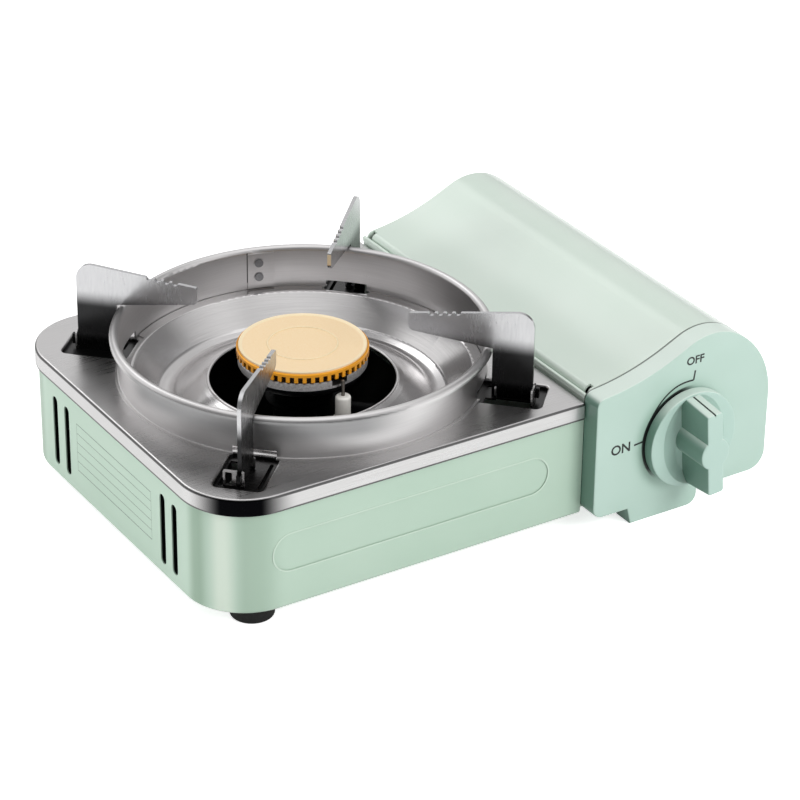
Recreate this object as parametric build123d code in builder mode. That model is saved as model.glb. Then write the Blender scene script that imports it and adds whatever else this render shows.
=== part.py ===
from build123d import *
import os
from math import asin, atan2, cos, hypot, pi, radians, sin, sqrt, tan

os.makedirs("parts", exist_ok=True)

# Butane cassette stove, millimetres. +X runs from the burner to the cartridge bay, -Y is the
# front with the knob, +Z is up. The origin is on the ground under the middle of the stove.
# Every x, y below is measured from the burner axis, and every z from the ground.

# ---------------------------------------------------------------- driving dimensions
# sheets and general clearances
case_sheet = 1.2  # painted steel of the lower case
pan_sheet = 0.8  # stainless of the pan, the tray and the windshield
cover_sheet = 1.2  # painted steel of the cartridge cover
bracket_sheet = 1.2  # plated steel of the inner brackets
fit_gap = 0.05  # radial clearance of a shaft or a pin in its hole
seat_gap = 0.3  # gap between neighbouring pieces that are not clamped together
screw_r = 1.5  # shank of every screw
screw_head_r = 3.2
screw_head = 2.0
screw_hole_r = screw_r + 0.1
case_screw_length = 5.2
panel_screw_length = 9.0
regulator_screw_length = 8.0

# top pan
pan_left = 106.7
pan_right = 101.3
pan_front = 102.5
pan_back = 111.5
pan_corner = 34.0
pan_top = 71.5
pan_skirt = 9.0
pan_edge = 1.4
pan_rim = 1.2  # rounding of the pressed recesses

# lower case
foot_height = 7.5
case_reveal = 0.8  # air between the case wall and the pan's rolled-down band
case_edge = 2.4
case_step = 4.0  # the bay's front and back walls stand in by this much
bay_tray_right = 206.5
bay_tray_back = 106.5
bay_tray_top = 30.0
vent_width = 5.2
vent_low = 14.7
vent_high = 53.5
vent_places = (67.5, 54.8, -46.1, -57.9)
front_frame_left = -75.6
front_frame_right = 81.1
front_frame_low = 27.3
front_frame_high = 48.0
front_frame_depth = 0.4
air_slot_count = 8
air_slot_length = 26.0
air_slot_width = 5.0
air_slot_circle_r = 62.0

# rubber feet
foot_r = 11.0
foot_stem_r = 4.0
foot_inset_left = 27.7
foot_inset_front = 16.5
foot_inset_right = 21.5

# windshield ring and drip tray
shield_r = 92.0
shield_top = 95.2
shield_bead = 4.0
shield_lip = 1.5  # the rolled lip stands out from the wall by this much
shield_notch_height = 4.4  # cut-outs of the ring's foot above the recesses
seam_angle = 78.0
tray_play = 0.4  # air between the tray's flange and the windshield
tray_wall_r = 85.5
tray_bead_r = 73.0
tray_bead_z = 59.0
tray_valley_r = 66.0
tray_valley_z = 57.2
tray_hole_r = 46.6
tray_hole_z = 67.8
tray_notch_r = 86.2
tray_notch_width = 24.0

# pot supports
support_angles = {"front_left": -135, "back_left": 135, "front_right": -45, "back_right": 45}
support_plate = 2.0
support_tip_r = 54.0
support_play = 0.4  # air between a support and the outer ear
support_air = 0.5  # air between a support and the windshield
support_top = 116.5
support_tip_top = 110.0
support_tip_low = 101.0
support_shoulder_r = 8.0
support_tip_edge = 1.0
support_tip_heel = 2.8
tongue_reach = 3.2
tongue_height = 5.4
scallop_r = 1.5
scallop_pitch = 4.4
scallop_count = 4
scallop_start_r = 65.5
slot_play = 0.2  # air on each side of a support in its slotted ear
recess_inner_r = 89.0
recess_margin = 10.9  # pan left outside a recess at the rounded corners
recess_half_width = 12.3
recess_depth = 2.6
recess_corner = 3.0
recess_shelf = 1.3  # floor left between a window and the wall of its recess
ear_height = 9.2
ear_inset = 5.5
ear_cheek = 1.2
ear_left = 8.0
ear_frame = 1.1
ear_web = 2.0
ear_corner = 1.0
ear_inner_height = 6.4
ear_inner_r = 98.2
recess_slot_width = 1.9
recess_slot_length = 25.0
recess_slot_offset = 9.2

# burner
cap_r = 33.2
cap_top = 86.3
cap_rim_low = 83.9
tooth_count = 50
tooth_low = 81.0
tooth_width = 1.9
tooth_depth = 2.4
cap_ring_r = 17.5
burner_ring_r = 32.5
burner_ring_low = 76.0
burner_ring_top = 80.1
burner_wall = 2.0
burner_neck_r = 15.0
burner_bowl_depth = 14.0
burner_seat_z = 34.0
burner_spigot_r = 10.0
gas_line_z = 46.5
gas_line_angle = -42.0
mixing_tube_r = 8.0
mixing_tube_wall = 0.9
mixing_tube_end = 97.0
jet_r = 3.0
jet_nut_r = 5.5
jet_nut_length = 5.5
gas_pipe_r = 2.2
gas_pipe_wall = 0.6
gas_pipe_bend_r = 16.0
gas_pipe_y = 84.0
burner_bracket_width = 26.0
burner_bracket_span = 68.0
bracket_foot = 12.0
electrode_angle = -86.0
electrode_r = 35.0
insulator_r = 3.9
insulator_top = 72.0
electrode_wire_r = 0.9
electrode_top = 80.6
electrode_plate_z = 56.0

# partition between the burner and the cartridge bay
partition_x = 102.2
partition_sheet = 1.0
partition_top = 75.0
partition_hem = 2.0
partition_end = 109.0

# outline of the cartridge bay, shared by its cover and by the control panel
bay_left = 101.6
bay_right = 208.6
bay_bottom = 9.0
bay_left_top = 76.4
bay_slope = 26.0
bay_ramp = 8.0
hump_x = 170.5
hump_z = 65.8
hump_r = 30.0
hump_end_angle = 60.0
corner_low_left = 6.0
corner_low_right = 10.0
corner_high_left = 5.0

# cartridge cover and its hinge
cover_front = 99.6
cover_back = 109.0
cover_skirt = 24.0
hinge_x = 108.4
hinge_z = 73.0
hinge_roll_r = 4.0
hinge_pin_r = 1.5
hinge_knuckle_gap = 3.2
hinge_side_gap = 0.7  # air between an ear of the cover and its bracket

# control panel
panel_front = 111.8
panel_depth = 11.8
panel_wall = 2.2
panel_edge = 0.8
panel_lip_inset = 0.7
panel_lip_wall = 1.6
panel_lip_reach = 2.8
panel_foot_left = 122.5
panel_foot_slant = 2.4
panel_foot_right = 166.0
panel_foot_corner = 6.0
boss_r = 4.0
panel_bosses = ((113.5, 19.0), (196.0, 22.0), (119.0, 60.0), (189.0, 78.0))

# knob, spindle, igniter cam
knob_x = 157.1
knob_z = 42.55
knob_r = 26.05
knob_gap = 0.8
knob_disc = 5.6
knob_front = 136.5
knob_rest_turn = 4.5
grip_width = 9.4
grip_half_length = 25.2
grip_taper = 6.0
grip_boss_r = 8.5
dish_sections = ((0.0, 18.5, 25.2), (2.0, 14.5, 23.0), (3.6, 9.0, 21.5))  # depth, half width, half length
pointer_width = 1.0
spindle_r = 4.0
spindle_flat = 3.0
spindle_end = 86.0
cam_low_r = 7.5
cam_rise = 5.0
cam_turn = 90.0
cam_width = 3.0
cam_front = 106.6
igniter_left = 117.0
igniter_right = 144.0
plunger_r = 3.0
plunger_gap = 0.25
plunger_tip_r = 1.2
plunger_hold = 13.0

# regulator and cartridge seat
can_x = 171.0
can_z = 56.0
can_r = 33.5
can_front = 72.0
collar_r = 17.6
collar_depth = 5.0
regulator_r = 19.0
port_reach = 14.0
regulator_front = 94.5
valve_block_r = 11.0
valve_block_step = 3.0
seat_r = 28.0
magnet_r = 4.0
magnet_circle_r = 22.8
port_pin_r = 2.0
seal_r = 4.6
cradle_width = 44.0
cradle_front = -28.0
cradle_back = 76.0
cradle_gap = 0.4

# ---------------------------------------------------------------- derived places
burner_x = (pan_left - bay_right) / 2
burner_y = (knob_front - pan_back) / 2
pan_hole_r = tray_wall_r + pan_sheet
case_low = foot_height
case_floor = case_low + case_sheet
case_top = pan_top - pan_sheet - seat_gap
case_inset = pan_sheet + case_reveal
case_end = pan_right - case_inset  # where the burner half of the case stops
case_left = pan_left - case_inset
case_front = pan_front - case_inset
case_back = pan_back - case_inset
case_corner = pan_corner - case_inset
case_band_low = pan_top - pan_skirt - seat_gap  # below the pan's band the walls run on to the panel
bay_tray_front = case_front - case_step
recess_floor = pan_top - recess_depth
recess_outer_r = hypot(pan_left - pan_corner, pan_front - pan_corner) + pan_corner - recess_margin
ear_outer_r = recess_outer_r - ear_inset
support_outer_r = ear_outer_r - support_play
support_inner_r = shield_r + shield_bead + support_air
support_arm_low = shield_top + support_air
shield_lip_r = shield_r + shield_lip
tray_flange_r = shield_r - pan_sheet - tray_play
slope = radians(bay_slope)
hump_end = radians(hump_end_angle)
flank_r = (bay_right - hump_x - hump_r * cos(hump_end)) / (1 - cos(hump_end))
flank_x = bay_right - flank_r
flank_z = hump_z - (flank_r - hump_r) * sin(hump_end)
bracket_front = bay_tray_front - case_sheet
knob_back = panel_front + knob_gap
knob_face = knob_back + knob_disc
burner_axis = Axis((burner_x, burner_y, 0), (0, 0, 1))
bracket_leg = burner_bracket_span / 2
bracket_screw_places = [(side * (bracket_leg + bracket_foot / 2 + 1), 0) for side in (-1, 1)]
panel_low_bosses = [place for place in panel_bosses if place[1] < bay_tray_top]
panel_high_bosses = [place for place in panel_bosses if place[1] > bay_tray_top]
cam_middle = cam_front - cam_width / 2
igniter_size = 2 * (panel_front - panel_wall - cam_middle)
seat_front = can_front + collar_depth
foot_places = (
    (-pan_left + foot_inset_left, -pan_front + foot_inset_front),
    (-pan_left + foot_inset_left, pan_back - foot_inset_front),
    (bay_tray_right - foot_inset_right, bay_tray_back - foot_inset_front),
)


# ---------------------------------------------------------------- planes and shared shapes
def level(height):
    """Horizontal plane through the burner axis."""
    return Plane((burner_x, burner_y, height))


def facing_front(y):
    """Upright plane that faces the front; its sketches use x and the height."""
    return Plane((burner_x, burner_y + y, 0), x_dir=(1, 0, 0), z_dir=(0, -1, 0))


def facing_back(y):
    """Upright plane that faces the back; its sketches use minus x and the height."""
    return Plane((burner_x, burner_y + y, 0), x_dir=(-1, 0, 0), z_dir=(0, 1, 0))


def facing_right(x):
    """Upright plane that faces the cartridge bay; its sketches use y and the height."""
    return Plane((burner_x + x, burner_y, 0), x_dir=(0, 1, 0), z_dir=(1, 0, 0))


def radial(angle, shift=0):
    """Upright plane through the burner axis; its sketches use the radius and the height."""
    across = (sin(radians(angle)), -cos(radians(angle)), 0)
    base = Vector(burner_x, burner_y, 0) + Vector(across) * shift
    return Plane(base, x_dir=(cos(radians(angle)), sin(radians(angle)), 0), z_dir=across)


def across(angle, radius):
    """Upright plane square to a radius of the burner; its sketches use the width and height."""
    out = Vector(cos(radians(angle)), sin(radians(angle)), 0)
    side = (-sin(radians(angle)), cos(radians(angle)), 0)
    return Plane(Vector(burner_x, burner_y, 0) + out * radius, x_dir=side, z_dir=out)


def polar_point(angle, radius):
    """Place in plan, given as an angle and a radius about the burner axis."""
    return (radius * cos(radians(angle)), radius * sin(radians(angle)))


def capped_block(plan, low, high, edge):
    """Upright block over a plan, with its upper rim rounded."""
    with BuildPart() as block:
        with BuildSketch(level(low)):
            add(plan)
        extrude(amount=high - low)
        fillet(block.edges().group_by(Axis.Z)[-1], radius=edge)
    return block.part


def box_plan(left, right, front, back, corner_left, corner_right=0.0):
    """Rectangle about the burner axis, rounded at its left end and, if asked, at its right end."""
    with BuildSketch(mode=Mode.PRIVATE) as plan:
        with Locations(((right - left) / 2, (back - front) / 2)):
            Rectangle(left + right, front + back)
        fillet(plan.vertices().group_by(Axis.X)[0], radius=corner_left)
        if corner_right:
            fillet(plan.vertices().group_by(Axis.X)[-1], radius=corner_right)
    return plan.sketch


def bay_outline(inset=0.0):
    """End view of the cartridge bay: flat shoulder, sloping ramp, hump and rounded flank."""
    with BuildSketch(mode=Mode.PRIVATE) as outline:
        with BuildLine():
            ramp_end = (hump_x - hump_r * sin(slope), hump_z + hump_r * cos(slope))
            ramp_start = (ramp_end[0] - bay_ramp * cos(slope), ramp_end[1] - bay_ramp * sin(slope))
            left = Line((bay_left, bay_bottom), (bay_left, bay_left_top))
            TangentArc(ramp_start, left @ 1, tangent=(-cos(slope), -sin(slope)))
            Line(ramp_start, ramp_end)
            start_angle = 90 + bay_slope
            CenterArc((hump_x, hump_z), hump_r, start_angle, hump_end_angle - start_angle)
            flank = CenterArc((flank_x, flank_z), flank_r, hump_end_angle, -hump_end_angle)
            right = Line(flank @ 1, (bay_right, bay_bottom))
            Line(right @ 1, left @ 0)
        make_face()
        fillet(outline.vertices().group_by(Axis.Y)[0].sort_by(Axis.X)[0], radius=corner_low_left)
        fillet(outline.vertices().group_by(Axis.Y)[0].sort_by(Axis.X)[-1], radius=corner_low_right)
        fillet(outline.vertices().group_by(Axis.X)[0].sort_by(Axis.Y)[-1], radius=corner_high_left)
        if inset:
            offset(amount=-inset, kind=Kind.INTERSECTION, mode=Mode.REPLACE)
    return outline.sketch


def screws(plane, places, length):
    """Pan-head screws: the head stands on the plane, the shank goes back through it."""
    with BuildPart() as group:
        with BuildSketch(plane):
            with Locations(*places):
                Circle(screw_head_r)
        extrude(amount=screw_head)
        with BuildSketch(plane):
            with Locations(*places):
                Circle(screw_r)
        extrude(amount=-length)
        with BuildSketch(plane.offset(screw_head)):
            with Locations(*places):
                Rectangle(screw_head_r * 1.3, screw_head / 3)
                Rectangle(screw_head / 3, screw_head_r * 1.3)
        extrude(amount=-screw_head / 2, mode=Mode.SUBTRACT)
    return group.part


def finish_piece(part, name):
    part.label = name
    export_step(part, "parts/" + name + ".step")


# ---------------------------------------------------------------- lower case
with BuildPart() as lower_case:
    case_stages = ((pan_right, case_band_low), (case_end, case_top))
    for wall_end, wall_top in case_stages:
        with BuildSketch(level(case_low)):
            add(box_plan(case_left, wall_end, case_front, case_back, case_corner))
        extrude(amount=wall_top - case_low)
    with BuildSketch(level(case_low)):
        with Locations((bay_tray_right / 2, (bay_tray_back - bay_tray_front) / 2)):
            Rectangle(bay_tray_right, bay_tray_back + bay_tray_front)
    extrude(amount=bay_tray_top - case_low)
    fillet(lower_case.edges().group_by(Axis.Z)[0], radius=case_edge)
    for wall_end, wall_top in case_stages:
        hollow = (case_left, wall_end, case_front, case_back, case_corner)
        with BuildSketch(level(case_floor)):
            add(box_plan(*[size - case_sheet for size in hollow]))
        extrude(amount=wall_top - case_floor, mode=Mode.SUBTRACT)
    with BuildSketch(level(case_floor)):
        with Locations(((bay_tray_right - case_sheet) / 2, (bay_tray_back - bay_tray_front) / 2)):
            Rectangle(bay_tray_right - case_sheet, bay_tray_back + bay_tray_front - 2 * case_sheet)
    extrude(amount=bay_tray_top - case_floor, mode=Mode.SUBTRACT)
    # the burner half is open towards the cartridge bay
    with BuildSketch(facing_right(case_end - case_sheet)):
        with Locations(((case_back - case_front) / 2, (case_top + case_floor) / 2)):
            Rectangle(case_back + case_front - 2 * case_step, case_top - case_floor)
    extrude(amount=pan_right - case_end + 2 * case_sheet, mode=Mode.SUBTRACT)
    # vent slots of the left wall
    with BuildSketch(facing_right(-case_left - case_sheet)):
        with Locations(*[(y, (vent_low + vent_high) / 2) for y in vent_places]):
            SlotOverall(vent_high - vent_low, vent_width, rotation=90)
    extrude(amount=3 * case_sheet, mode=Mode.SUBTRACT)
    # shallow pressed frame of the front wall
    with BuildSketch(facing_front(-case_front)):
        frame_width = front_frame_right - front_frame_left
        frame_height = front_frame_high - front_frame_low
        frame_middle = (front_frame_low + front_frame_high) / 2
        with Locations(((front_frame_left + front_frame_right) / 2, frame_middle)):
            SlotOverall(frame_width, frame_height)
    extrude(amount=-front_frame_depth, mode=Mode.SUBTRACT)
    # air inlets under the burner
    with BuildSketch(level(case_low)):
        with PolarLocations(air_slot_circle_r, air_slot_count, start_angle=180 / air_slot_count):
            SlotOverall(air_slot_length, air_slot_width, rotation=90)
    extrude(amount=case_sheet, mode=Mode.SUBTRACT)
    # holes for the stems of the feet
    with BuildSketch(level(case_low)):
        with Locations(*foot_places):
            Circle(foot_stem_r + seat_gap)
        with Locations(*bracket_screw_places):
            Circle(screw_hole_r)
    extrude(amount=case_sheet, mode=Mode.SUBTRACT)
    # screw holes of the bay's front wall
    with BuildSketch(facing_front(-bay_tray_front)):
        with Locations(*panel_low_bosses):
            Circle(screw_hole_r)
    extrude(amount=-case_sheet, mode=Mode.SUBTRACT)

finish_piece(lower_case.part, "lower_case")

# ---------------------------------------------------------------- top pan
pan_size = (pan_left, pan_right, pan_front, pan_back, pan_corner, pan_edge)
pan_outside = capped_block(box_plan(*pan_size), pan_top - pan_skirt, pan_top, pan_edge)
pan_inside = capped_block(
    box_plan(*[size - pan_sheet for size in pan_size]),
    pan_top - pan_skirt,
    pan_top - pan_sheet,
    pan_edge - pan_sheet,
)
recess_length = recess_outer_r - recess_inner_r
recess_middle_r = (recess_outer_r + recess_inner_r) / 2
ear_slot = support_plate + 2 * slot_play
ear_side = ear_slot / 2 + ear_cheek
window_left = recess_shelf - recess_half_width
window_parts = (  # beside the inner ear, and from there out to the outer ear
    (shield_lip_r + seat_gap, ear_inner_r + pan_sheet, -ear_side - slot_play),
    (ear_inner_r + pan_sheet, ear_outer_r, -ear_slot / 2 - slot_play),
)

with BuildPart() as top_pan:
    add(pan_outside)
    add(pan_inside, mode=Mode.SUBTRACT)
    with BuildSketch(level(recess_floor - pan_sheet)):
        with PolarLocations(recess_middle_r, 4, start_angle=45):
            RectangleRounded(
                recess_length + 2 * pan_sheet,
                2 * (recess_half_width + pan_sheet),
                recess_corner + pan_sheet,
            )
    extrude(amount=recess_depth)
    with BuildSketch(level(pan_top)):
        with PolarLocations(recess_middle_r, 4, start_angle=45):
            RectangleRounded(recess_length, 2 * recess_half_width, recess_corner)
    extrude(amount=-recess_depth, mode=Mode.SUBTRACT)
    fillet(top_pan.edges(Select.LAST).group_by(Axis.Z)[-1], radius=pan_rim)
    with BuildSketch(level(pan_top)):
        Circle(pan_hole_r)
    extrude(amount=-2 * pan_sheet, mode=Mode.SUBTRACT)
    # window that the two ears are lanced from, and the narrow slot beside the support
    with BuildSketch(level(recess_floor)):
        with PolarLocations(0, 4, start_angle=45):
            for inner_end, outer_end, window_right in window_parts:
                with Locations(((inner_end + outer_end) / 2, (window_left + window_right) / 2)):
                    Rectangle(outer_end - inner_end, window_right - window_left)
            with Locations((recess_outer_r - ear_inset - recess_slot_length / 2, recess_slot_offset)):
                SlotOverall(recess_slot_length, recess_slot_width)
    extrude(amount=-pan_sheet, mode=Mode.SUBTRACT)
    # slotted ears that hold the supports upright
    for angle in support_angles.values():
        with BuildSketch(across(angle, ear_outer_r)):
            with Locations(((ear_side - ear_left) / 2, recess_floor + ear_height / 2)):
                RectangleRounded(ear_side + ear_left, ear_height, ear_corner)
            with Locations((-(ear_side + ear_left) / 2, recess_floor + ear_height / 2)):
                Rectangle(
                    ear_left - ear_side - 2 * ear_frame, ear_height - 2 * ear_frame, mode=Mode.SUBTRACT
                )
            with Locations((0, recess_floor + ear_web)):
                Rectangle(
                    ear_slot, ear_height, align=(Align.CENTER, Align.MIN), mode=Mode.SUBTRACT
                )
        extrude(amount=pan_sheet)
        with BuildSketch(across(angle, ear_inner_r)):
            with Locations((0, recess_floor + ear_inner_height / 2)):
                RectangleRounded(2 * ear_side, ear_inner_height, ear_corner)
            with Locations((0, recess_floor + ear_web)):
                Rectangle(
                    ear_slot, ear_height, align=(Align.CENTER, Align.MIN), mode=Mode.SUBTRACT
                )
        extrude(amount=pan_sheet)

finish_piece(top_pan.part, "top_pan")

# ---------------------------------------------------------------- windshield ring
shield_middle_r = shield_r - pan_sheet / 2
shield_bend_z = shield_top - pan_sheet / 2 - shield_bead / 2
shield_lap_r = shield_r - pan_sheet
shield_lap_low = pan_top + 1.6
shield_lap_turn = 9.0
rivet_r = 1.2
rivet_head_r = 2.3
rivet_head = 0.7
rivet_angle = seam_angle - 3.8
rivet_heights = (79.5, 87.5)

with BuildPart() as windshield_ring:
    with BuildSketch(radial(0)):
        with BuildLine():
            foot = FilletPolyline(
                (shield_lip_r, pan_top + pan_sheet / 2),
                (shield_middle_r, pan_top + pan_sheet / 2),
                (shield_middle_r, shield_bend_z),
                radius=pan_sheet,
            )
            bead = TangentArc(foot @ 1, (shield_middle_r + shield_bead, shield_bend_z), tangent=(0, 1))
            Line(bead @ 1, (shield_middle_r + shield_bead, shield_bend_z - pan_sheet))
        trace(line_width=pan_sheet)
    revolve(axis=burner_axis)
    # cut-outs above the recesses of the supports
    with BuildSketch(level(pan_top)):
        with PolarLocations(shield_r, 4, start_angle=45):
            Rectangle(4 * shield_bead, 2 * (recess_half_width - recess_shelf))
    extrude(amount=shield_notch_height, mode=Mode.SUBTRACT)
    # the band's inner end laps behind its outer end and is riveted there
    with BuildSketch(radial(seam_angle - shield_lap_turn)):
        with Locations((shield_lap_r - pan_sheet / 2, (shield_lap_low + shield_bend_z) / 2)):
            Rectangle(pan_sheet, shield_bend_z - shield_lap_low)
    revolve(axis=burner_axis, revolution_arc=shield_lap_turn)
    for height in rivet_heights:
        with BuildSketch(across(rivet_angle, shield_lap_r - 2 * pan_sheet)):
            with Locations((0, height)):
                Circle(rivet_r + fit_gap)
        extrude(amount=4 * pan_sheet, mode=Mode.SUBTRACT)

finish_piece(windshield_ring.part, "windshield_ring")

with BuildPart() as windshield_rivets:
    for height in rivet_heights:
        with BuildSketch(across(rivet_angle, shield_lap_r - pan_sheet - rivet_head - fit_gap)):
            with Locations((0, height)):
                Circle(rivet_head_r)
        extrude(amount=rivet_head, taper=12)
        with BuildSketch(across(rivet_angle, shield_lap_r - pan_sheet - rivet_head - fit_gap)):
            with Locations((0, height)):
                Circle(rivet_r)
        extrude(amount=2 * pan_sheet + 2 * rivet_head)
        with BuildSketch(across(rivet_angle, shield_r)):
            with Locations((0, height)):
                Circle(rivet_head_r)
        extrude(amount=rivet_head, taper=12)

finish_piece(windshield_rivets.part, "windshield_rivets")

# ---------------------------------------------------------------- drip tray
tray_hem_r = 0.9

with BuildPart() as drip_tray:
    with BuildSketch(radial(0)):
        with BuildLine():
            FilletPolyline(
                (tray_flange_r, pan_top + pan_sheet / 2),
                (tray_wall_r, pan_top + pan_sheet / 2),
                (tray_bead_r, tray_bead_z),
                (tray_valley_r, tray_valley_z - pan_sheet / 2),
                (tray_hole_r + 4, tray_hole_z - 2.4),
                (tray_hole_r + tray_hem_r, tray_hole_z - tray_hem_r),
                radius=[1.6, 4.0, 7.0, 2.0],
            )
        trace(line_width=pan_sheet)
        with Locations((tray_hole_r + tray_hem_r, tray_hole_z - tray_hem_r)):
            Circle(tray_hem_r)
    revolve(axis=burner_axis)
    # the flange is cut back where the recesses of the supports begin
    with BuildSketch(level(pan_top)):
        with PolarLocations(tray_notch_r, 4, start_angle=45):
            with Locations(((tray_flange_r - tray_notch_r), 0)):
                Trapezoid(tray_notch_width * 1.3, 2 * (tray_flange_r - tray_notch_r), 66, rotation=90)
    extrude(amount=2 * pan_sheet, mode=Mode.SUBTRACT)

finish_piece(drip_tray.part, "drip_tray")


# ---------------------------------------------------------------- pot supports
def pot_support(angle):
    """Upright plate: a foot in the recess, and an arm that reaches in over the windshield."""
    crown_r = support_outer_r - support_shoulder_r
    crown_z = support_top - support_shoulder_r
    run = crown_r - support_tip_r
    climb = crown_z - support_tip_top
    rise = atan2(climb, run) + asin(support_shoulder_r / hypot(run, climb))  # slope of the top edge
    with BuildPart() as plate:
        with BuildSketch(radial(angle, -support_plate / 2)) as side:
            with BuildLine():
                foot_low = Polyline(
                    (support_inner_r, support_arm_low),
                    (support_inner_r, recess_floor),
                    (support_outer_r, recess_floor),
                    (support_outer_r, crown_z),
                )
                shoulder = CenterArc((crown_r, crown_z), support_shoulder_r, 0, 90 + rise / radians(1))
                Polyline(
                    shoulder @ 1,
                    (support_tip_r, support_tip_top),
                    (support_tip_r, support_tip_low),
                    foot_low @ 0,
                )
            make_face()
            fillet(side.vertices().group_by(Axis.X)[0].sort_by(Axis.Y)[-1], radius=support_tip_edge)
            fillet(side.vertices().group_by(Axis.X)[0].sort_by(Axis.Y)[0], radius=support_tip_heel)
            # tongue that drops into the outer ear
            tongue_low = recess_floor + ear_web + slot_play
            with Locations((support_outer_r, tongue_low)):
                Rectangle(2 * tongue_reach, tongue_height, align=(Align.CENTER, Align.MIN))
            # notch that straddles the web of the inner ear
            with Locations((ear_inner_r + pan_sheet / 2, recess_floor)):
                Rectangle(
                    pan_sheet + 2 * slot_play, 2 * (ear_web + slot_play), mode=Mode.SUBTRACT
                )
            # scallops that stop a pot from sliding
            for step in range(scallop_count):
                r = scallop_start_r + step * scallop_pitch
                z = support_tip_top + (r - support_tip_r) * tan(rise)
                with Locations((r, z)):
                    Circle(scallop_r, mode=Mode.SUBTRACT)
        extrude(amount=support_plate)
    return plate.part


for corner, angle in support_angles.items():
    finish_piece(pot_support(angle), "pot_support_" + corner)


# ---------------------------------------------------------------- burner
burner_ledge = 1.0  # the ring stands out this far over the bowl
burner_bowl_r = burner_ring_r - burner_ledge
bowl_rim = 2.0
neck_top = burner_ring_low - burner_bowl_depth
spigot_length = 4.0
bowl_floor_z = burner_seat_z + 3.0
tube_hole_r = mixing_tube_r + fit_gap

with BuildPart() as burner_base:
    with BuildSketch(radial(0)):
        with BuildLine():
            outside = Polyline(
                (0, burner_seat_z - spigot_length),
                (burner_spigot_r, burner_seat_z - spigot_length),
                (burner_spigot_r, burner_seat_z),
                (burner_neck_r, burner_seat_z),
                (burner_neck_r, neck_top),
            )
            bowl = Spline(
                outside @ 1,
                (burner_bowl_r, burner_ring_low - bowl_rim),
                tangents=[(0.3, 1), (0.5, 1)],
            )
            rim = Polyline(
                bowl @ 1,
                (burner_bowl_r, burner_ring_low),
                (burner_bowl_r - 2 * burner_wall, burner_ring_low),
                (burner_bowl_r - 2 * burner_wall, burner_ring_low - bowl_rim),
            )
            inner_bowl = Spline(
                rim @ 1,
                (burner_neck_r - burner_wall, neck_top + burner_wall),
                tangents=[(-0.5, -1), (-0.3, -1)],
            )
            Polyline(
                inner_bowl @ 1,
                (burner_neck_r - burner_wall, bowl_floor_z),
                (0, bowl_floor_z),
                outside @ 0,
            )
        make_face()
    revolve(axis=burner_axis)
    with BuildSketch(across(gas_line_angle, 0)):
        with Locations((0, gas_line_z)):
            Circle(tube_hole_r)
    extrude(amount=2 * burner_neck_r, mode=Mode.SUBTRACT)

finish_piece(burner_base.part, "burner_base")

ring_wall = 4.6
ring_gap_width = 9.0
ring_gap_web = 1.2

with BuildPart() as burner_ring:
    with BuildSketch(level(burner_ring_low)):
        Circle(burner_ring_r)
        Circle(burner_ring_r - ring_wall, mode=Mode.SUBTRACT)
    extrude(amount=burner_ring_top - burner_ring_low)
    chamfer(burner_ring.edges().group_by(Axis.Z)[-1].sort_by(SortBy.LENGTH)[-1], length=0.5)
    # three gaps, one of them in front of the electrode, carry the flame round
    with BuildSketch(level(burner_ring_low + ring_gap_web)):
        with PolarLocations(burner_ring_r - ring_wall / 2, 3, start_angle=electrode_angle):
            Rectangle(2 * ring_wall, ring_gap_width)
    extrude(amount=burner_ring_top - burner_ring_low, mode=Mode.SUBTRACT)

finish_piece(burner_ring.part, "burner_ring")

cap_crown = 1.2  # rounding between the top and the rim of the cap
cap_plate = 2.6
cap_dish = 0.4
cap_ridge = 0.9

with BuildPart() as burner_cap:
    with BuildSketch(radial(0)):
        with BuildLine():
            crown = Polyline((0, cap_top - cap_dish), (cap_r - cap_crown - 2, cap_top - cap_dish))
            lift = Line(crown @ 1, (cap_r - cap_crown, cap_top))
            edge = RadiusArc(lift @ 1, (cap_r, cap_top - cap_crown), -cap_crown)
            Polyline(
                edge @ 1,
                (cap_r, tooth_low),
                (cap_r - tooth_depth, tooth_low),
                (cap_r - tooth_depth, cap_rim_low),
                (burner_ring_r - ring_wall / 2, cap_rim_low),
                (burner_ring_r - ring_wall / 2, burner_ring_top),
                (burner_ring_r - ring_wall, burner_ring_top),
                (burner_ring_r - ring_wall, cap_top - cap_dish - cap_plate),
                (0, cap_top - cap_dish - cap_plate),
                (0, cap_top - cap_dish),
            )
        make_face()
        # raised circle on the top
        with Locations((cap_ring_r, cap_top - cap_dish)):
            Circle(cap_ridge / 2)
    revolve(axis=burner_axis)
    # flame teeth: slots of even width all round the skirt
    tooth_pitch = 2 * pi * cap_r / tooth_count
    with BuildSketch(level(tooth_low)):
        with PolarLocations(cap_r - tooth_depth / 2, tooth_count):
            Rectangle(2 * tooth_depth, tooth_pitch - tooth_width)
    extrude(amount=cap_rim_low - tooth_low, mode=Mode.SUBTRACT)

finish_piece(burner_cap.part, "burner_cap")

with BuildPart() as burner_bracket:
    with BuildSketch(facing_front(burner_bracket_width / 2)):
        with BuildLine():
            FilletPolyline(
                (-bracket_leg - bracket_foot, case_floor + bracket_sheet / 2),
                (-bracket_leg, case_floor + bracket_sheet / 2),
                (-bracket_leg, burner_seat_z - bracket_sheet / 2),
                (bracket_leg, burner_seat_z - bracket_sheet / 2),
                (bracket_leg, case_floor + bracket_sheet / 2),
                (bracket_leg + bracket_foot, case_floor + bracket_sheet / 2),
                radius=2 * bracket_sheet,
            )
        trace(line_width=bracket_sheet)
    extrude(amount=burner_bracket_width)
    with BuildSketch(level(burner_seat_z)):
        Circle(burner_spigot_r + fit_gap)
    extrude(amount=-2 * bracket_sheet, mode=Mode.SUBTRACT)
    with BuildSketch(level(case_floor)):
        with Locations(*bracket_screw_places):
            Circle(screw_hole_r)
    extrude(amount=2 * bracket_sheet, mode=Mode.SUBTRACT)

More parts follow.
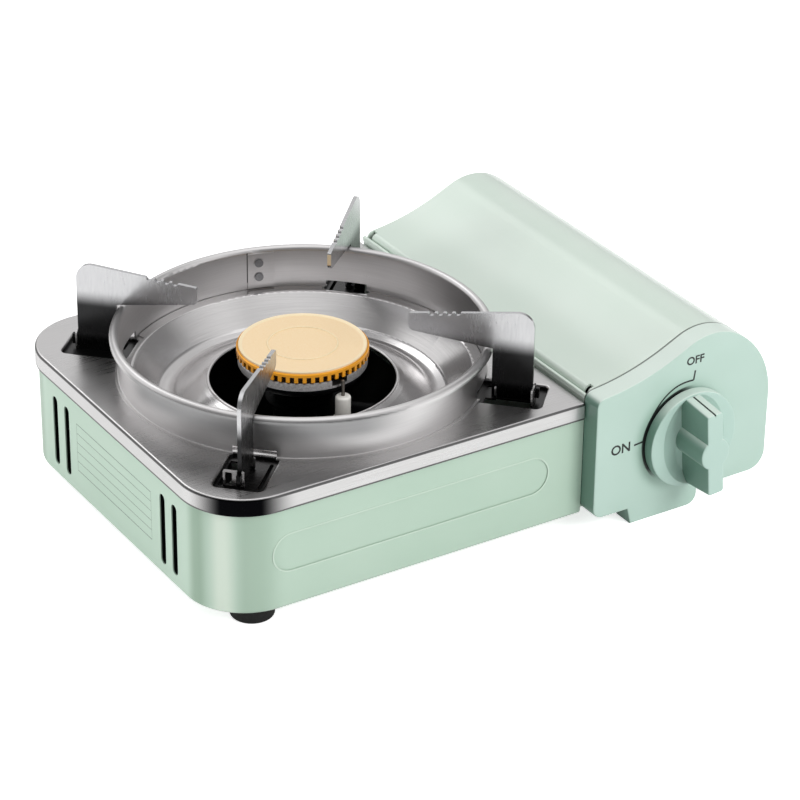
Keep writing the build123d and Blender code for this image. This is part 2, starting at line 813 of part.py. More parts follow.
finish_piece(burner_bracket.part, "burner_bracket")

# ---------------------------------------------------------------- gas line
tube_cap_wall = 1.5
window_setback = 13.0
window_start_r = mixing_tube_end - window_setback
air_window_length = 10.0

with BuildPart() as mixing_tube:
    with BuildSketch(across(gas_line_angle, burner_neck_r - burner_wall)):
        with Locations((0, gas_line_z)):
            Circle(mixing_tube_r)
    extrude(amount=mixing_tube_end - burner_neck_r + burner_wall)
    with BuildSketch(across(gas_line_angle, burner_neck_r - burner_wall)):
        with Locations((0, gas_line_z)):
            Circle(mixing_tube_r - mixing_tube_wall)
    extrude(amount=mixing_tube_end - burner_neck_r + burner_wall - tube_cap_wall, mode=Mode.SUBTRACT)
    with BuildSketch(across(gas_line_angle, mixing_tube_end - 2 * tube_cap_wall)):
        with Locations((0, gas_line_z)):
            Circle(jet_r + fit_gap)
    extrude(amount=3 * tube_cap_wall, mode=Mode.SUBTRACT)
    # air windows on both sides of the jet
    with BuildSketch(radial(gas_line_angle, -2 * mixing_tube_r)):
        with Locations((window_start_r + air_window_length / 2, gas_line_z)):
            RectangleRounded(air_window_length, mixing_tube_r, 1.5)
    extrude(amount=4 * mixing_tube_r, mode=Mode.SUBTRACT)

finish_piece(mixing_tube.part, "mixing_tube")

jet_reach = 6.0
jet_bore_r = 0.8

with BuildPart() as gas_nozzle:
    with BuildSketch(across(gas_line_angle, mixing_tube_end)):
        with Locations((0, gas_line_z)):
            RegularPolygon(jet_nut_r, 6)
    extrude(amount=jet_nut_length)
    with BuildSketch(across(gas_line_angle, mixing_tube_end)):
        with Locations((0, gas_line_z)):
            Circle(jet_r)
    extrude(amount=-jet_reach)
    with BuildSketch(across(gas_line_angle, mixing_tube_end + jet_nut_length)):
        with Locations((0, gas_line_z)):
            Circle(jet_bore_r)
    extrude(amount=-jet_nut_length - jet_reach, mode=Mode.SUBTRACT)

finish_piece(gas_nozzle.part, "gas_nozzle")

pipe_start_r = mixing_tube_end + jet_nut_length
pipe_corner_r = gas_pipe_y / sin(radians(-gas_line_angle))
port_x = can_x - regulator_r - port_reach

with BuildPart() as gas_pipe:
    with BuildLine(level(gas_line_z)) as pipe_route:
        FilletPolyline(
            polar_point(gas_line_angle, pipe_start_r),
            polar_point(gas_line_angle, pipe_corner_r),
            (port_x, -gas_pipe_y),
            radius=gas_pipe_bend_r,
        )
    with BuildSketch(across(gas_line_angle, pipe_start_r)):
        with Locations((0, gas_line_z)):
            Circle(gas_pipe_r)
            Circle(gas_pipe_r - gas_pipe_wall, mode=Mode.SUBTRACT)
    sweep(path=pipe_route.line)

finish_piece(gas_pipe.part, "gas_pipe")

# ---------------------------------------------------------------- spark electrode
electrode_spot = polar_point(electrode_angle, electrode_r)
insulator_tail = 9.0
insulator_low = electrode_plate_z - insulator_tail
collar_extra = 1.2
clip_margin = 4.0
arm_margin = 2.5
electrode_wire_low = insulator_low - 4.0

with BuildPart() as electrode_insulator:
    with BuildSketch(level(insulator_low)):
        with Locations(electrode_spot):
            Circle(insulator_r)
    extrude(amount=insulator_top - insulator_low)
    fillet(electrode_insulator.edges().group_by(Axis.Z)[-1], radius=1.2)
    with BuildSketch(level(electrode_plate_z + bracket_sheet)):
        with Locations(electrode_spot):
            Circle(insulator_r + collar_extra)
    extrude(amount=2.4)
    with BuildSketch(level(insulator_low)):
        with Locations(electrode_spot):
            Circle(electrode_wire_r + fit_gap)
    extrude(amount=insulator_top - insulator_low, mode=Mode.SUBTRACT)

finish_piece(electrode_insulator.part, "electrode_insulator")

with BuildPart() as electrode_wire:
    with BuildSketch(level(electrode_wire_low)):
        with Locations(electrode_spot):
            Circle(electrode_wire_r)
    extrude(amount=electrode_top - electrode_wire_low)
    fillet(electrode_wire.edges().group_by(Axis.Z)[-1], radius=electrode_wire_r * 0.8)

finish_piece(electrode_wire.part, "electrode_wire")

with BuildPart() as electrode_bracket:
    with BuildSketch(level(electrode_plate_z)):
        Circle(burner_neck_r + clip_margin)
        with Locations(polar_point(electrode_angle, electrode_r / 2)):
            Rectangle(electrode_r, 2 * (insulator_r + arm_margin), rotation=electrode_angle)
        with Locations(electrode_spot):
            Circle(insulator_r + arm_margin)
            Circle(insulator_r + fit_gap, mode=Mode.SUBTRACT)
        Circle(burner_neck_r + fit_gap, mode=Mode.SUBTRACT)
    extrude(amount=bracket_sheet)

finish_piece(electrode_bracket.part, "electrode_bracket")

# ---------------------------------------------------------------- partition
partition_front = cover_front + 0.1
partition_low_front = bracket_front - bracket_sheet - seat_gap
partition_low_back = bay_tray_back - case_sheet - seat_gap
partition_right = partition_x + partition_sheet
partition_foot = 8.0
hem_low = pan_top + seat_gap
pipe_hole_r = gas_pipe_r + 1.0

with BuildPart() as partition:
    with BuildSketch(facing_right(partition_x)):
        with BuildLine():
            Polyline(
                (-partition_low_front, case_floor),
                (-partition_low_front, bay_tray_top + seat_gap),
                (-partition_front, bay_tray_top + seat_gap),
                (-partition_front, partition_top - partition_hem / 2),
                (partition_end, partition_top - partition_hem / 2),
                (partition_end, bay_tray_top + seat_gap),
                (partition_low_back, bay_tray_top + seat_gap),
                (partition_low_back, case_floor),
                close=True,
            )
        make_face()
        with Locations((-gas_pipe_y, gas_line_z)):
            Circle(pipe_hole_r, mode=Mode.SUBTRACT)
    extrude(amount=partition_sheet)
    # hem along the top edge
    with BuildSketch(facing_front(-partition_front)):
        with Locations((partition_x + partition_sheet / 2, (hem_low + partition_top) / 2)):
            RectangleRounded(partition_hem, partition_top - hem_low, partition_hem * 0.45)
    extrude(amount=-(partition_front + partition_end))
    # foot on the floor of the bay
    with BuildSketch(facing_front(-partition_low_front)):
        with Locations((partition_x, case_floor)):
            Rectangle(partition_foot, partition_sheet, align=(Align.MIN, Align.MIN))
    extrude(amount=-(partition_low_front + partition_low_back))

finish_piece(partition.part, "partition")

# ---------------------------------------------------------------- cartridge cover
cover_length = cover_front + cover_back
ear_hole_r = hinge_pin_r + fit_gap
roll_inner_r = hinge_roll_r - cover_sheet


def trimmed_bay(cut_left, cut_low):
    """Bay outline above and to the right of the given limits."""
    with BuildSketch(mode=Mode.PRIVATE) as trimmed:
        add(bay_outline())
        with Locations((cut_left, (bay_bottom + hump_z) / 2)):
            Rectangle(bay_right, 4 * bay_right, align=(Align.MAX, Align.CENTER), mode=Mode.SUBTRACT)
        with Locations((cut_left, cut_low)):
            Rectangle(3 * bay_right, bay_right, align=(Align.CENTER, Align.MAX), mode=Mode.SUBTRACT)
    return trimmed.sketch


with BuildPart() as cartridge_cover:
    with BuildSketch(facing_front(-cover_front)):
        add(trimmed_bay(hinge_x, cover_skirt))
        add(bay_outline(cover_sheet), mode=Mode.SUBTRACT)
        # the left edge is rolled round the hinge axis
        with BuildLine():
            outer_roll = CenterArc((hinge_x, hinge_z), hinge_roll_r, 90, 180)
            Line(outer_roll @ 1, (hinge_x, hinge_z - roll_inner_r))
            inner_roll = CenterArc((hinge_x, hinge_z), roll_inner_r, 270, -180)
            Line(inner_roll @ 1, outer_roll @ 0)
        make_face()
    extrude(amount=-cover_length)
    # end wall at the back, with the ear of the rear hinge pin
    with BuildSketch(facing_front(cover_back)):
        add(trimmed_bay(hinge_x - hinge_roll_r, cover_skirt))
        with Locations((hinge_x - hinge_roll_r, hinge_z)):
            Rectangle(hinge_roll_r, bay_right, align=(Align.MIN, Align.MIN), mode=Mode.SUBTRACT)
        with Locations((hinge_x, hinge_z)):
            Circle(hinge_roll_r)
    extrude(amount=cover_sheet)
    # ear of the front hinge pin
    with BuildSketch(facing_front(-cover_front)):
        with Locations((hinge_x, hinge_z)):
            Circle(hinge_roll_r)
    extrude(amount=-cover_sheet)
    with BuildSketch(facing_front(-cover_front)):
        with Locations((hinge_x, hinge_z)):
            Circle(ear_hole_r)
    extrude(amount=-cover_length, mode=Mode.SUBTRACT)
    # gaps in the roll where the brackets reach the pins
    for near in (-cover_front + cover_sheet, cover_back - cover_sheet - hinge_knuckle_gap):
        with BuildSketch(facing_front(near)):
            with Locations((hinge_x, hinge_z)):
                Rectangle(2 * hinge_roll_r, 3 * hinge_roll_r, align=(Align.MAX, Align.CENTER))
        extrude(amount=-hinge_knuckle_gap, mode=Mode.SUBTRACT)

finish_piece(cartridge_cover.part, "cartridge_cover")

hinge_eye_r = roll_inner_r - seat_gap
bracket_low = 56.0
bracket_flange = 9.0
hinge_bracket_fronts = (
    -cover_front + cover_sheet + hinge_side_gap,
    cover_back - cover_sheet - hinge_side_gap - bracket_sheet,
)

with BuildPart() as hinge_brackets:
    for front, flange_turn in zip(hinge_bracket_fronts, (-1, 1)):
        with BuildSketch(facing_front(front)):
            with Locations((hinge_x, hinge_z)):
                Circle(hinge_eye_r)
            with BuildLine():
                Polyline(
                    (partition_right, bracket_low),
                    (partition_right, hinge_z - hinge_roll_r),
                    (hinge_x - hinge_eye_r * 0.92, hinge_z - hinge_eye_r * 0.35),
                    (hinge_x + hinge_eye_r * 0.7, hinge_z - hinge_eye_r * 0.7),
                    close=True,
                )
            make_face()
            with Locations((hinge_x, hinge_z)):
                Circle(ear_hole_r, mode=Mode.SUBTRACT)
        extrude(amount=-bracket_sheet)
        # flange that is welded to the partition
        flange_end = front if flange_turn < 0 else front + bracket_sheet - bracket_flange
        with BuildSketch(facing_front(flange_end)):
            with Locations((partition_right, bracket_low)):
                flange_top = hinge_z - hinge_roll_r - seat_gap - bracket_low
                Rectangle(bracket_sheet, flange_top, align=(Align.MIN, Align.MIN))
        extrude(amount=-bracket_flange)

finish_piece(hinge_brackets.part, "hinge_brackets")

with BuildPart() as hinge_pins:
    pin_length = cover_sheet + hinge_side_gap + bracket_sheet + seat_gap
    for start in (-cover_front, hinge_bracket_fronts[1] - seat_gap):
        with BuildSketch(facing_front(start)):
            with Locations((hinge_x, hinge_z)):
                Circle(hinge_pin_r)
        extrude(amount=-pin_length)

finish_piece(hinge_pins.part, "hinge_pins")

# ---------------------------------------------------------------- control panel
panel_inner = panel_front - panel_wall
lip_outset = cover_sheet + panel_lip_inset
lip_left = hinge_x + hinge_roll_r + 3.0
spindle_hole_r = spindle_r + seat_gap


def panel_foot(inset=0.0):
    """Outline of the foot under the panel: slanted on the left, rounded on the right."""
    with BuildSketch(mode=Mode.PRIVATE) as outline:
        with BuildLine():
            Polyline(
                (panel_foot_left + inset, bay_bottom + panel_edge),
                (panel_foot_left + panel_foot_slant + inset, inset),
                (panel_foot_right - inset, inset),
                (panel_foot_right - inset, bay_bottom + panel_edge),
                close=True,
            )
        make_face()
        corner = outline.vertices().group_by(Axis.Y)[0].sort_by(Axis.X)[-1]
        fillet(corner, radius=panel_foot_corner - inset)
    return outline.sketch


with BuildPart() as control_panel:
    with BuildSketch(facing_front(-panel_front)):
        add(bay_outline())
        add(panel_foot())
    extrude(amount=-panel_depth)
    fillet(control_panel.faces().sort_by(Axis.Y)[0].edges(), radius=panel_edge)
    with BuildSketch(facing_front(-panel_inner)):
        add(bay_outline(panel_wall))
        add(panel_foot(panel_wall))
    extrude(amount=-panel_depth, mode=Mode.SUBTRACT)
    # floor of the panel above its hollow foot
    with BuildSketch(facing_front(-panel_inner)):
        with Locations(((panel_foot_left + panel_foot_right) / 2, bay_bottom)):
            Rectangle(
                panel_foot_right - panel_foot_left, panel_wall, align=(Align.CENTER, Align.MIN)
            )
    extrude(amount=-(panel_depth - panel_wall))
    # locating lip that the front edge of the cover closes over
    with BuildSketch(facing_front(-panel_inner)):
        add(bay_outline(lip_outset))
        add(bay_outline(lip_outset + panel_lip_wall), mode=Mode.SUBTRACT)
        with Locations((lip_left, hump_z)):
            Rectangle(bay_right, 2 * bay_right, align=(Align.MAX, Align.CENTER), mode=Mode.SUBTRACT)
    extrude(amount=-(panel_depth - panel_wall + panel_lip_reach))
    # screw bosses
    for places, end in ((panel_low_bosses, bay_tray_front), (panel_high_bosses, bracket_front)):
        with BuildSketch(facing_front(-panel_inner)):
            with Locations(*places):
                Circle(boss_r)
        extrude(amount=-(panel_inner - end))
    with BuildSketch(facing_front(-panel_inner + panel_wall)):
        with Locations(*panel_bosses):
            Circle(screw_hole_r)
    extrude(amount=-panel_depth, mode=Mode.SUBTRACT)
    with BuildSketch(facing_front(-panel_front)):
        with Locations((knob_x, knob_z)):
            Circle(spindle_hole_r)
    extrude(amount=-panel_wall, mode=Mode.SUBTRACT)

finish_piece(control_panel.part, "control_panel")


# ---------------------------------------------------------------- knob and spindle
def knob_plane(y, turn=0.0):
    """Plane square to the spindle, turned about it; +y in its sketches points up."""
    place = (burner_x + knob_x, burner_y - y, knob_z)
    return Plane(place, x_dir=(cos(radians(turn)), 0, sin(radians(turn))), z_dir=(0, -1, 0))


def spindle_section(gap=0.0):
    """D-shaped section of the spindle, larger all round by the gap."""
    with BuildSketch(mode=Mode.PRIVATE) as section:
        Circle(spindle_r + gap)
        with Locations((0, spindle_flat + gap)):
            Rectangle(4 * spindle_r, 2 * spindle_r, align=(Align.CENTER, Align.MIN), mode=Mode.SUBTRACT)
    return section.sketch


grip_depth = knob_front - knob_face
socket_depth = 12.0
grip_foot = knob_face - dish_sections[-1][0]  # floor of the dish round the grip
grip_corner = 1.6
grip_draft = tan(radians(grip_taper))

with BuildPart() as knob:
    with BuildSketch(knob_plane(knob_back)):
        Circle(knob_r)
    extrude(amount=knob_disc)
    fillet(knob.edges().group_by(Axis.Y)[0], radius=panel_edge)
    # dish that leaves room for the fingers on both sides of the grip
    for depth, half_width, half_length in dish_sections:
        with BuildSketch(knob_plane(knob_face - depth, knob_rest_turn)):
            Ellipse(half_width, half_length)
    loft(mode=Mode.SUBTRACT)
    # grip bar, a little shorter at its front
    with BuildSketch(knob_plane(grip_foot, knob_rest_turn)):
        RectangleRounded(grip_width, 2 * grip_half_length, grip_corner)
    with BuildSketch(knob_plane(knob_front, knob_rest_turn)):
        grip_front = grip_half_length - (knob_front - grip_foot) * grip_draft
        RectangleRounded(grip_width, 2 * grip_front, grip_corner)
    loft()
    with BuildSketch(knob_plane(grip_foot, knob_rest_turn)):
        Circle(grip_boss_r)
    extrude(amount=knob_front - grip_foot)
    fillet(knob.edges().group_by(Axis.Y)[0], radius=panel_edge)
    # pointer groove down the upper end of the bar
    for y, end in ((knob_face, grip_front + grip_depth * grip_draft), (knob_front, grip_front)):
        with BuildSketch(knob_plane(y, knob_rest_turn)):
            with Locations((0, end)):
                Rectangle(pointer_width, 2 * pointer_width)
    loft(mode=Mode.SUBTRACT)
    # D-shaped socket for the spindle
    with BuildSketch(knob_plane(knob_back)):
        add(spindle_section(fit_gap), rotation=knob_rest_turn)
    extrude(amount=socket_depth, mode=Mode.SUBTRACT)

finish_piece(knob.part, "knob")

spindle_front = knob_back + socket_depth - seat_gap
cam_back = cam_front - cam_width

with BuildPart() as knob_spindle:
    with BuildSketch(knob_plane(spindle_end)):
        Circle(spindle_r)
    extrude(amount=cam_back - spindle_end)
    with BuildSketch(knob_plane(cam_back)):
        add(spindle_section(), rotation=knob_rest_turn)
    extrude(amount=spindle_front - cam_back)

finish_piece(knob_spindle.part, "knob_spindle")


def cam_point(angle):
    """Point of the snail: its radius grows evenly from 180 degrees back to 90 degrees."""
    radius = cam_low_r + cam_rise * (180 - angle) / cam_turn
    return (radius * cos(radians(angle)), radius * sin(radians(angle)))


cam_high_r = cam_low_r + cam_rise
cam_dwell = 30.0

with BuildPart() as igniter_cam:
    with BuildSketch(knob_plane(cam_back)):
        with BuildLine():
            snail = Spline(*[cam_point(180 - cam_turn * step / 8) for step in range(9)])
            dwell = CenterArc((0, 0), cam_high_r, 180 - cam_turn, -cam_dwell)
            drop = Line(dwell @ 1, (cam_low_r, 0))
            RadiusArc(drop @ 1, snail @ 0, cam_low_r)
        make_face()
        add(spindle_section(fit_gap), rotation=knob_rest_turn, mode=Mode.SUBTRACT)
    extrude(amount=cam_width)

finish_piece(igniter_cam.part, "igniter_cam")

# ---------------------------------------------------------------- piezo igniter
plunger_tip_x = knob_x - cam_low_r - plunger_gap
plunger_back_x = igniter_right - plunger_hold
bore_end_x = plunger_back_x - cam_rise - 2 * seat_gap


def plunger_plane(x):
    """Plane square to the plunger, on its axis."""
    return Plane((burner_x + x, burner_y - cam_middle, knob_z), x_dir=(0, 1, 0), z_dir=(1, 0, 0))


with BuildPart() as piezo_igniter:
    with BuildSketch(plunger_plane(igniter_left)):
        RectangleRounded(igniter_size, igniter_size, 1.2)
    extrude(amount=igniter_right - igniter_left)
    with BuildSketch(plunger_plane(bore_end_x)):
        Circle(plunger_r + fit_gap)
    extrude(amount=igniter_right - bore_end_x, mode=Mode.SUBTRACT)

finish_piece(piezo_igniter.part, "piezo_igniter")

with BuildPart() as piezo_plunger:
    with BuildSketch(Plane(plunger_plane(0).origin, x_dir=(1, 0, 0), z_dir=(0, -1, 0))):
        tip_back = plunger_tip_r * (1 - sin(radians(45)))
        tip_side = plunger_tip_r * cos(radians(45))
        shoulder_x = plunger_tip_x - tip_back - (plunger_r - tip_side)
        with BuildLine():
            body = Polyline(
                (plunger_tip_x, 0),
                (plunger_back_x, 0),
                (plunger_back_x, plunger_r),
                (shoulder_x, plunger_r),
                (plunger_tip_x - tip_back, tip_side),
            )
            RadiusArc(body @ 1, body @ 0, plunger_tip_r)
        make_face()
    revolve(axis=Axis(plunger_plane(0).origin, (1, 0, 0)))

finish_piece(piezo_plunger.part, "piezo_plunger")

# ---------------------------------------------------------------- regulator
regulator_depth = regulator_front - seat_front
recess_r = seal_r + seat_gap
port_depth = 4.0
port_r = 4.6
port_left = port_x - 6.0
cap_side_r = regulator_depth / 2 - 0.6
cap_reach = 9.0
cap_hex_start = 4.0
cap_hex_length = 6.0
screw_across = 12.0
screw_up = 9.0
regulator_screw_places = (
    (can_x - screw_across, can_z + screw_up),
    (can_x + screw_across, can_z - screw_up),
)
bracket_left = hinge_x + hinge_roll_r - 3.0
bracket_right = 203.0
corner_cut_width = 7.0
corner_cut_drop = 12.0  # the bracket's upper corner stops this far below the hinge axis

with BuildPart() as regulator_bracket:
    with BuildSketch(facing_front(-bracket_front)):
        add(bay_outline(lip_outset + 2 * seat_gap))
        with Locations((bracket_left, hump_z)):
            Rectangle(bay_right, 2 * bay_right, align=(Align.MAX, Align.CENTER), mode=Mode.SUBTRACT)
        with Locations((bracket_right, hump_z)):
            Rectangle(bay_right, 2 * bay_right, align=(Align.MIN, Align.CENTER), mode=Mode.SUBTRACT)
        with Locations((bracket_left, hinge_z - corner_cut_drop)):
            Rectangle(corner_cut_width, bay_right, align=(Align.MIN, Align.MIN), mode=Mode.SUBTRACT)
        with Locations(*panel_bosses, *regulator_screw_places):
            Circle(screw_hole_r, mode=Mode.SUBTRACT)
        with Locations((knob_x, knob_z)):
            Circle(spindle_hole_r, mode=Mode.SUBTRACT)
    extrude(amount=-bracket_sheet)

finish_piece(regulator_bracket.part, "regulator_bracket")

with BuildPart() as regulator_body:
    with BuildSketch(facing_front(-seat_front)):
        with Locations((can_x, can_z)):
            Circle(regulator_r)
    extrude(amount=regulator_depth)
    with BuildSketch(facing_front(-seat_front - valve_block_step)):
        with Locations((knob_x, knob_z)):
            Circle(valve_block_r)
    extrude(amount=regulator_depth - valve_block_step)
    with BuildSketch(facing_right(port_left)):
        with Locations((-gas_pipe_y, gas_line_z)):
            Circle(port_r)
    extrude(amount=knob_x - port_left)
    with BuildSketch(facing_right(port_left)):
        with Locations((-gas_pipe_y, gas_line_z)):
            Circle(gas_pipe_r + fit_gap)
    extrude(amount=port_x - port_left + seat_gap, mode=Mode.SUBTRACT)
    # bore of the cock, and blind holes of the two screws
    with BuildSketch(facing_front(-regulator_front)):
        with Locations((knob_x, knob_z)):
            Circle(spindle_r + fit_gap)
    extrude(amount=-(regulator_front - spindle_end + seat_gap), mode=Mode.SUBTRACT)
    with BuildSketch(facing_front(-regulator_front)):
        with Locations(*regulator_screw_places):
            Circle(screw_hole_r)
    extrude(amount=-regulator_depth / 2, mode=Mode.SUBTRACT)
    # recess round the filler pin that opens the cartridge valve
    with BuildSketch(facing_back(-seat_front)):
        with Locations((-can_x, can_z)):
            Circle(recess_r)
            Circle(port_pin_r, mode=Mode.SUBTRACT)
    extrude(amount=-port_depth, mode=Mode.SUBTRACT)
    with BuildSketch(facing_back(-seat_front)):
        with Locations((-can_x, can_z)):
            Circle(port_pin_r)
    extrude(amount=-seat_gap, mode=Mode.SUBTRACT)

finish_piece(regulator_body.part, "regulator_body")

with BuildPart() as regulator_cap:
    cap_centre = (-(regulator_front + seat_front) / 2, can_z)
    with BuildSketch(facing_right(can_x + sqrt(regulator_r**2 - cap_side_r**2))):
        with Locations(cap_centre):
            Circle(cap_side_r)
    extrude(amount=cap_reach)
    with BuildSketch(facing_right(can_x + regulator_r + cap_hex_start)):
        with Locations(cap_centre):
            RegularPolygon(cap_side_r * 0.6, 6)
    extrude(amount=cap_hex_length)
    with BuildSketch(facing_front(-regulator_front)):
        with Locations((can_x, can_z)):
            Circle(regulator_r + fit_gap)
    extrude(amount=-regulator_depth, mode=Mode.SUBTRACT)

finish_piece(regulator_cap.part, "regulator_cap")

magnet_places = [(magnet_circle_r * side, 0) for side in (-1, 1)]
magnet_depth = 3.0

with BuildPart() as cartridge_seat:
    with BuildSketch(facing_back(-seat_front)):
        with Locations((-can_x, can_z)):
            Circle(seat_r)
            Circle(collar_r, mode=Mode.SUBTRACT)
    extrude(amount=collar_depth)
    with BuildSketch(facing_back(-can_front)):
        with Locations((-can_x, can_z)):
            with Locations(*magnet_places):
                Circle(magnet_r + fit_gap)
    extrude(amount=-magnet_depth, mode=Mode.SUBTRACT)

finish_piece(cartridge_seat.part, "cartridge_seat")

with BuildPart() as seat_magnets:
    with BuildSketch(facing_back(-can_front)):
        with Locations((-can_x, can_z)):
            with Locations(*magnet_places):
                Circle(magnet_r)
    extrude(amount=-magnet_depth)

finish_piece(seat_magnets.part, "seat_magnets")

with BuildPart() as valve_seal:
    with BuildSketch(facing_back(-seat_front - port_depth)):
        with Locations((-can_x, can_z)):
            Circle(seal_r)
            Circle(port_pin_r + fit_gap, mode=Mode.SUBTRACT)
    extrude(amount=port_depth * 0.6)

finish_piece(valve_seal.part, "valve_seal")

# ---------------------------------------------------------------- cartridge cradle
with BuildPart() as cartridge_cradle:
    with BuildSketch(level(case_floor)):
        with Locations((can_x, (cradle_front + cradle_back) / 2)):
            Rectangle(cradle_width, cradle_back - cradle_front)
    extrude(amount=bracket_sheet)
    for near in (cradle_front, cradle_back - bracket_sheet):
        with BuildSketch(facing_front(near)):
            with Locations((can_x, case_floor)):
                Rectangle(cradle_width, can_z - case_floor - can_r / 2, align=(Align.CENTER, Align.MIN))
            with Locations((can_x, can_z)):
                Circle(can_r + cradle_gap, mode=Mode.SUBTRACT)
        extrude(amount=-bracket_sheet)

finish_piece(cartridge_cradle.part, "cartridge_cradle")

# ---------------------------------------------------------------- feet and screws
foot_head_r = foot_stem_r + 1.8
foot_head = 2.6

with BuildPart() as rubber_feet:
    with BuildSketch(level(0)):
        with Locations(*foot_places):
            Circle(foot_r)
    extrude(amount=foot_height)
    fillet(rubber_feet.edges().group_by(Axis.Z)[0], radius=1.5)
    with BuildSketch(level(foot_height)):
        with Locations(*foot_places):
            Circle(foot_stem_r)
    extrude(amount=case_sheet)
    with BuildSketch(level(case_floor)):
        with Locations(*foot_places):
            Circle(foot_head_r)
    extrude(amount=foot_head, taper=20)

finish_piece(rubber_feet.part, "rubber_feet")

floor_plane = Plane((burner_x, burner_y, case_low), x_dir=(1, 0, 0), z_dir=(0, 0, -1))
finish_piece(screws(floor_plane, bracket_screw_places, case_screw_length), "case_screws")

panel_screw_places = [(-x, z) for x, z in panel_bosses]
plate_back = facing_back(-bracket_front + bracket_sheet)
finish_piece(screws(plate_back, panel_screw_places, panel_screw_length), "panel_screws")

plate_front = facing_front(-bracket_front)
finish_piece(screws(plate_front, regulator_screw_places, regulator_screw_length), "regulator_screws")
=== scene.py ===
# %% [markdown]
# # A cassette stove, dressed around its CAD frame
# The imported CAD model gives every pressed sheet, casting and screw its real shape and size.
# This notebook loads that frame, sets up a camera and a small photo studio, gives every part
# the material that the real one is made of, and adds the thin things that CAD leaves out:
# printing, drawn lines and edge beads. All lengths are written in millimetres and turned
# into metres once.

# %% Load the frame
import math

import bmesh
import bpy
from mathutils import Matrix, Vector


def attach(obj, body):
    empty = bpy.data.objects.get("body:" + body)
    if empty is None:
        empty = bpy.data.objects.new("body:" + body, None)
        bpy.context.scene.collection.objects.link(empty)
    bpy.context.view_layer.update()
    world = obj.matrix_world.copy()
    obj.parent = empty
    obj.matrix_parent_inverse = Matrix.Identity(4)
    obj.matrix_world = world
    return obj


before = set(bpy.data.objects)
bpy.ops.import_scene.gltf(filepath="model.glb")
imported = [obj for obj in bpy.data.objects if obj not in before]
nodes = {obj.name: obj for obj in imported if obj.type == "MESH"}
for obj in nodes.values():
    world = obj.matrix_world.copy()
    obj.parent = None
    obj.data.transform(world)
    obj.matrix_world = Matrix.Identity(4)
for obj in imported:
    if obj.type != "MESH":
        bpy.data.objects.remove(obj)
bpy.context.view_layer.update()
MM = 0.001

# %% [markdown]
# The drawings of the stove measure from the burner, because everything round is built about
# its axis. The CAD frame's origin is the middle of the whole stove, so one offset takes a
# point from the drawing to the frame.

# %% From the drawing to the frame
BURNER = Vector((-50.95, 12.5, 0.0))


def place(x, y, z):
    """A point of the drawing, in millimetres from the burner's axis, as frame metres."""
    return (BURNER + Vector((x, y, z))) * MM


print("burner axis at", tuple(round(v, 4) for v in place(0, 0, 0)))

# %% [markdown]
# ## Camera
# A product picture is taken with a long lens from some distance, so that edges that are
# parallel stay nearly parallel. The camera's place and three angles are set as numbers, and
# the rotation matrix is built from the three directions that they give: right, up and back.

# %% Camera
CAMERA_AT = (-758.298, -1197.684, 818.673)
CAMERA_AZIMUTH = math.radians(32.301)
CAMERA_TILT = math.radians(28.619)
CAMERA_ROLL = math.radians(0.663)
CAMERA_LENS = 142.83

camera_data = bpy.data.cameras.new("camera")
camera_data.lens = CAMERA_LENS
camera_data.sensor_width = 36.0
camera_data.clip_end = 50.0
camera = bpy.data.objects.new("camera", camera_data)
bpy.context.scene.collection.objects.link(camera)

looking = Vector(
    (
        math.sin(CAMERA_AZIMUTH) * math.cos(CAMERA_TILT),
        math.cos(CAMERA_AZIMUTH) * math.cos(CAMERA_TILT),
        -math.sin(CAMERA_TILT),
    )
)
level_right = Vector((math.cos(CAMERA_AZIMUTH), -math.sin(CAMERA_AZIMUTH), 0.0))
level_up = level_right.cross(looking)
right = level_right * math.cos(CAMERA_ROLL) + level_up * math.sin(CAMERA_ROLL)
upward = level_up * math.cos(CAMERA_ROLL) - level_right * math.sin(CAMERA_ROLL)
turned = Matrix((right, upward, -looking)).transposed().to_4x4()
camera.matrix_world = Matrix.Translation(Vector(CAMERA_AT) * MM) @ turned
bpy.context.scene.camera = camera
print("camera", round((Vector(CAMERA_AT) - BURNER).length), "mm from the burner's foot")

# %% [markdown]
# ## Colours and nodes
# Colours are written as the sRGB hex values that a paint program shows. A shader works with
# linear light, so one function converts them. A second function adds any node with its
# settings, its values and its links, so that each material below reads as a recipe.


# %% Colour and node helpers
def linear(hex_value, alpha=1.0):
    """An sRGB hex colour such as "#B9D0BF" as linear RGBA."""
    channels = [int(hex_value[i : i + 2], 16) / 255 for i in (1, 3, 5)]
    return (
        *[c / 12.92 if c <= 0.04045 else ((c + 0.055) / 1.055) ** 2.4 for c in channels],
        alpha,
    )


def add(tree, kind, values=(), links=(), **settings):
    """Add a node: settings are its properties, values its sockets, links what feeds them."""
    node = tree.nodes.new("ShaderNode" + kind)
    for key, value in settings.items():
        setattr(node, key, value)
    for key, value in dict(values).items():
        node.inputs[key].default_value = value
    for key, source in dict(links).items():
        tree.links.new(source, node.inputs[key])
    return node


print("mint enamel in linear light", [round(c, 3) for c in linear("#B9D0BF")[:3]])

# %% [markdown]
# ## Where a pattern sits
# Brush lines, cast grain and orange peel have a real size, so patterns are laid out in
# millimetres. The first helper gives the surface point in millimetres from the burner's
# axis, and others give its distance from the axis and its bearing round it. Distance, height
# and bearing together are what a spun or rolled piece needs, because its lines run around
# the axis.


# %% Pattern coordinates
SPUN_STEP = 3.0  # a turn of one radian counts as this many millimetres of a spun pattern


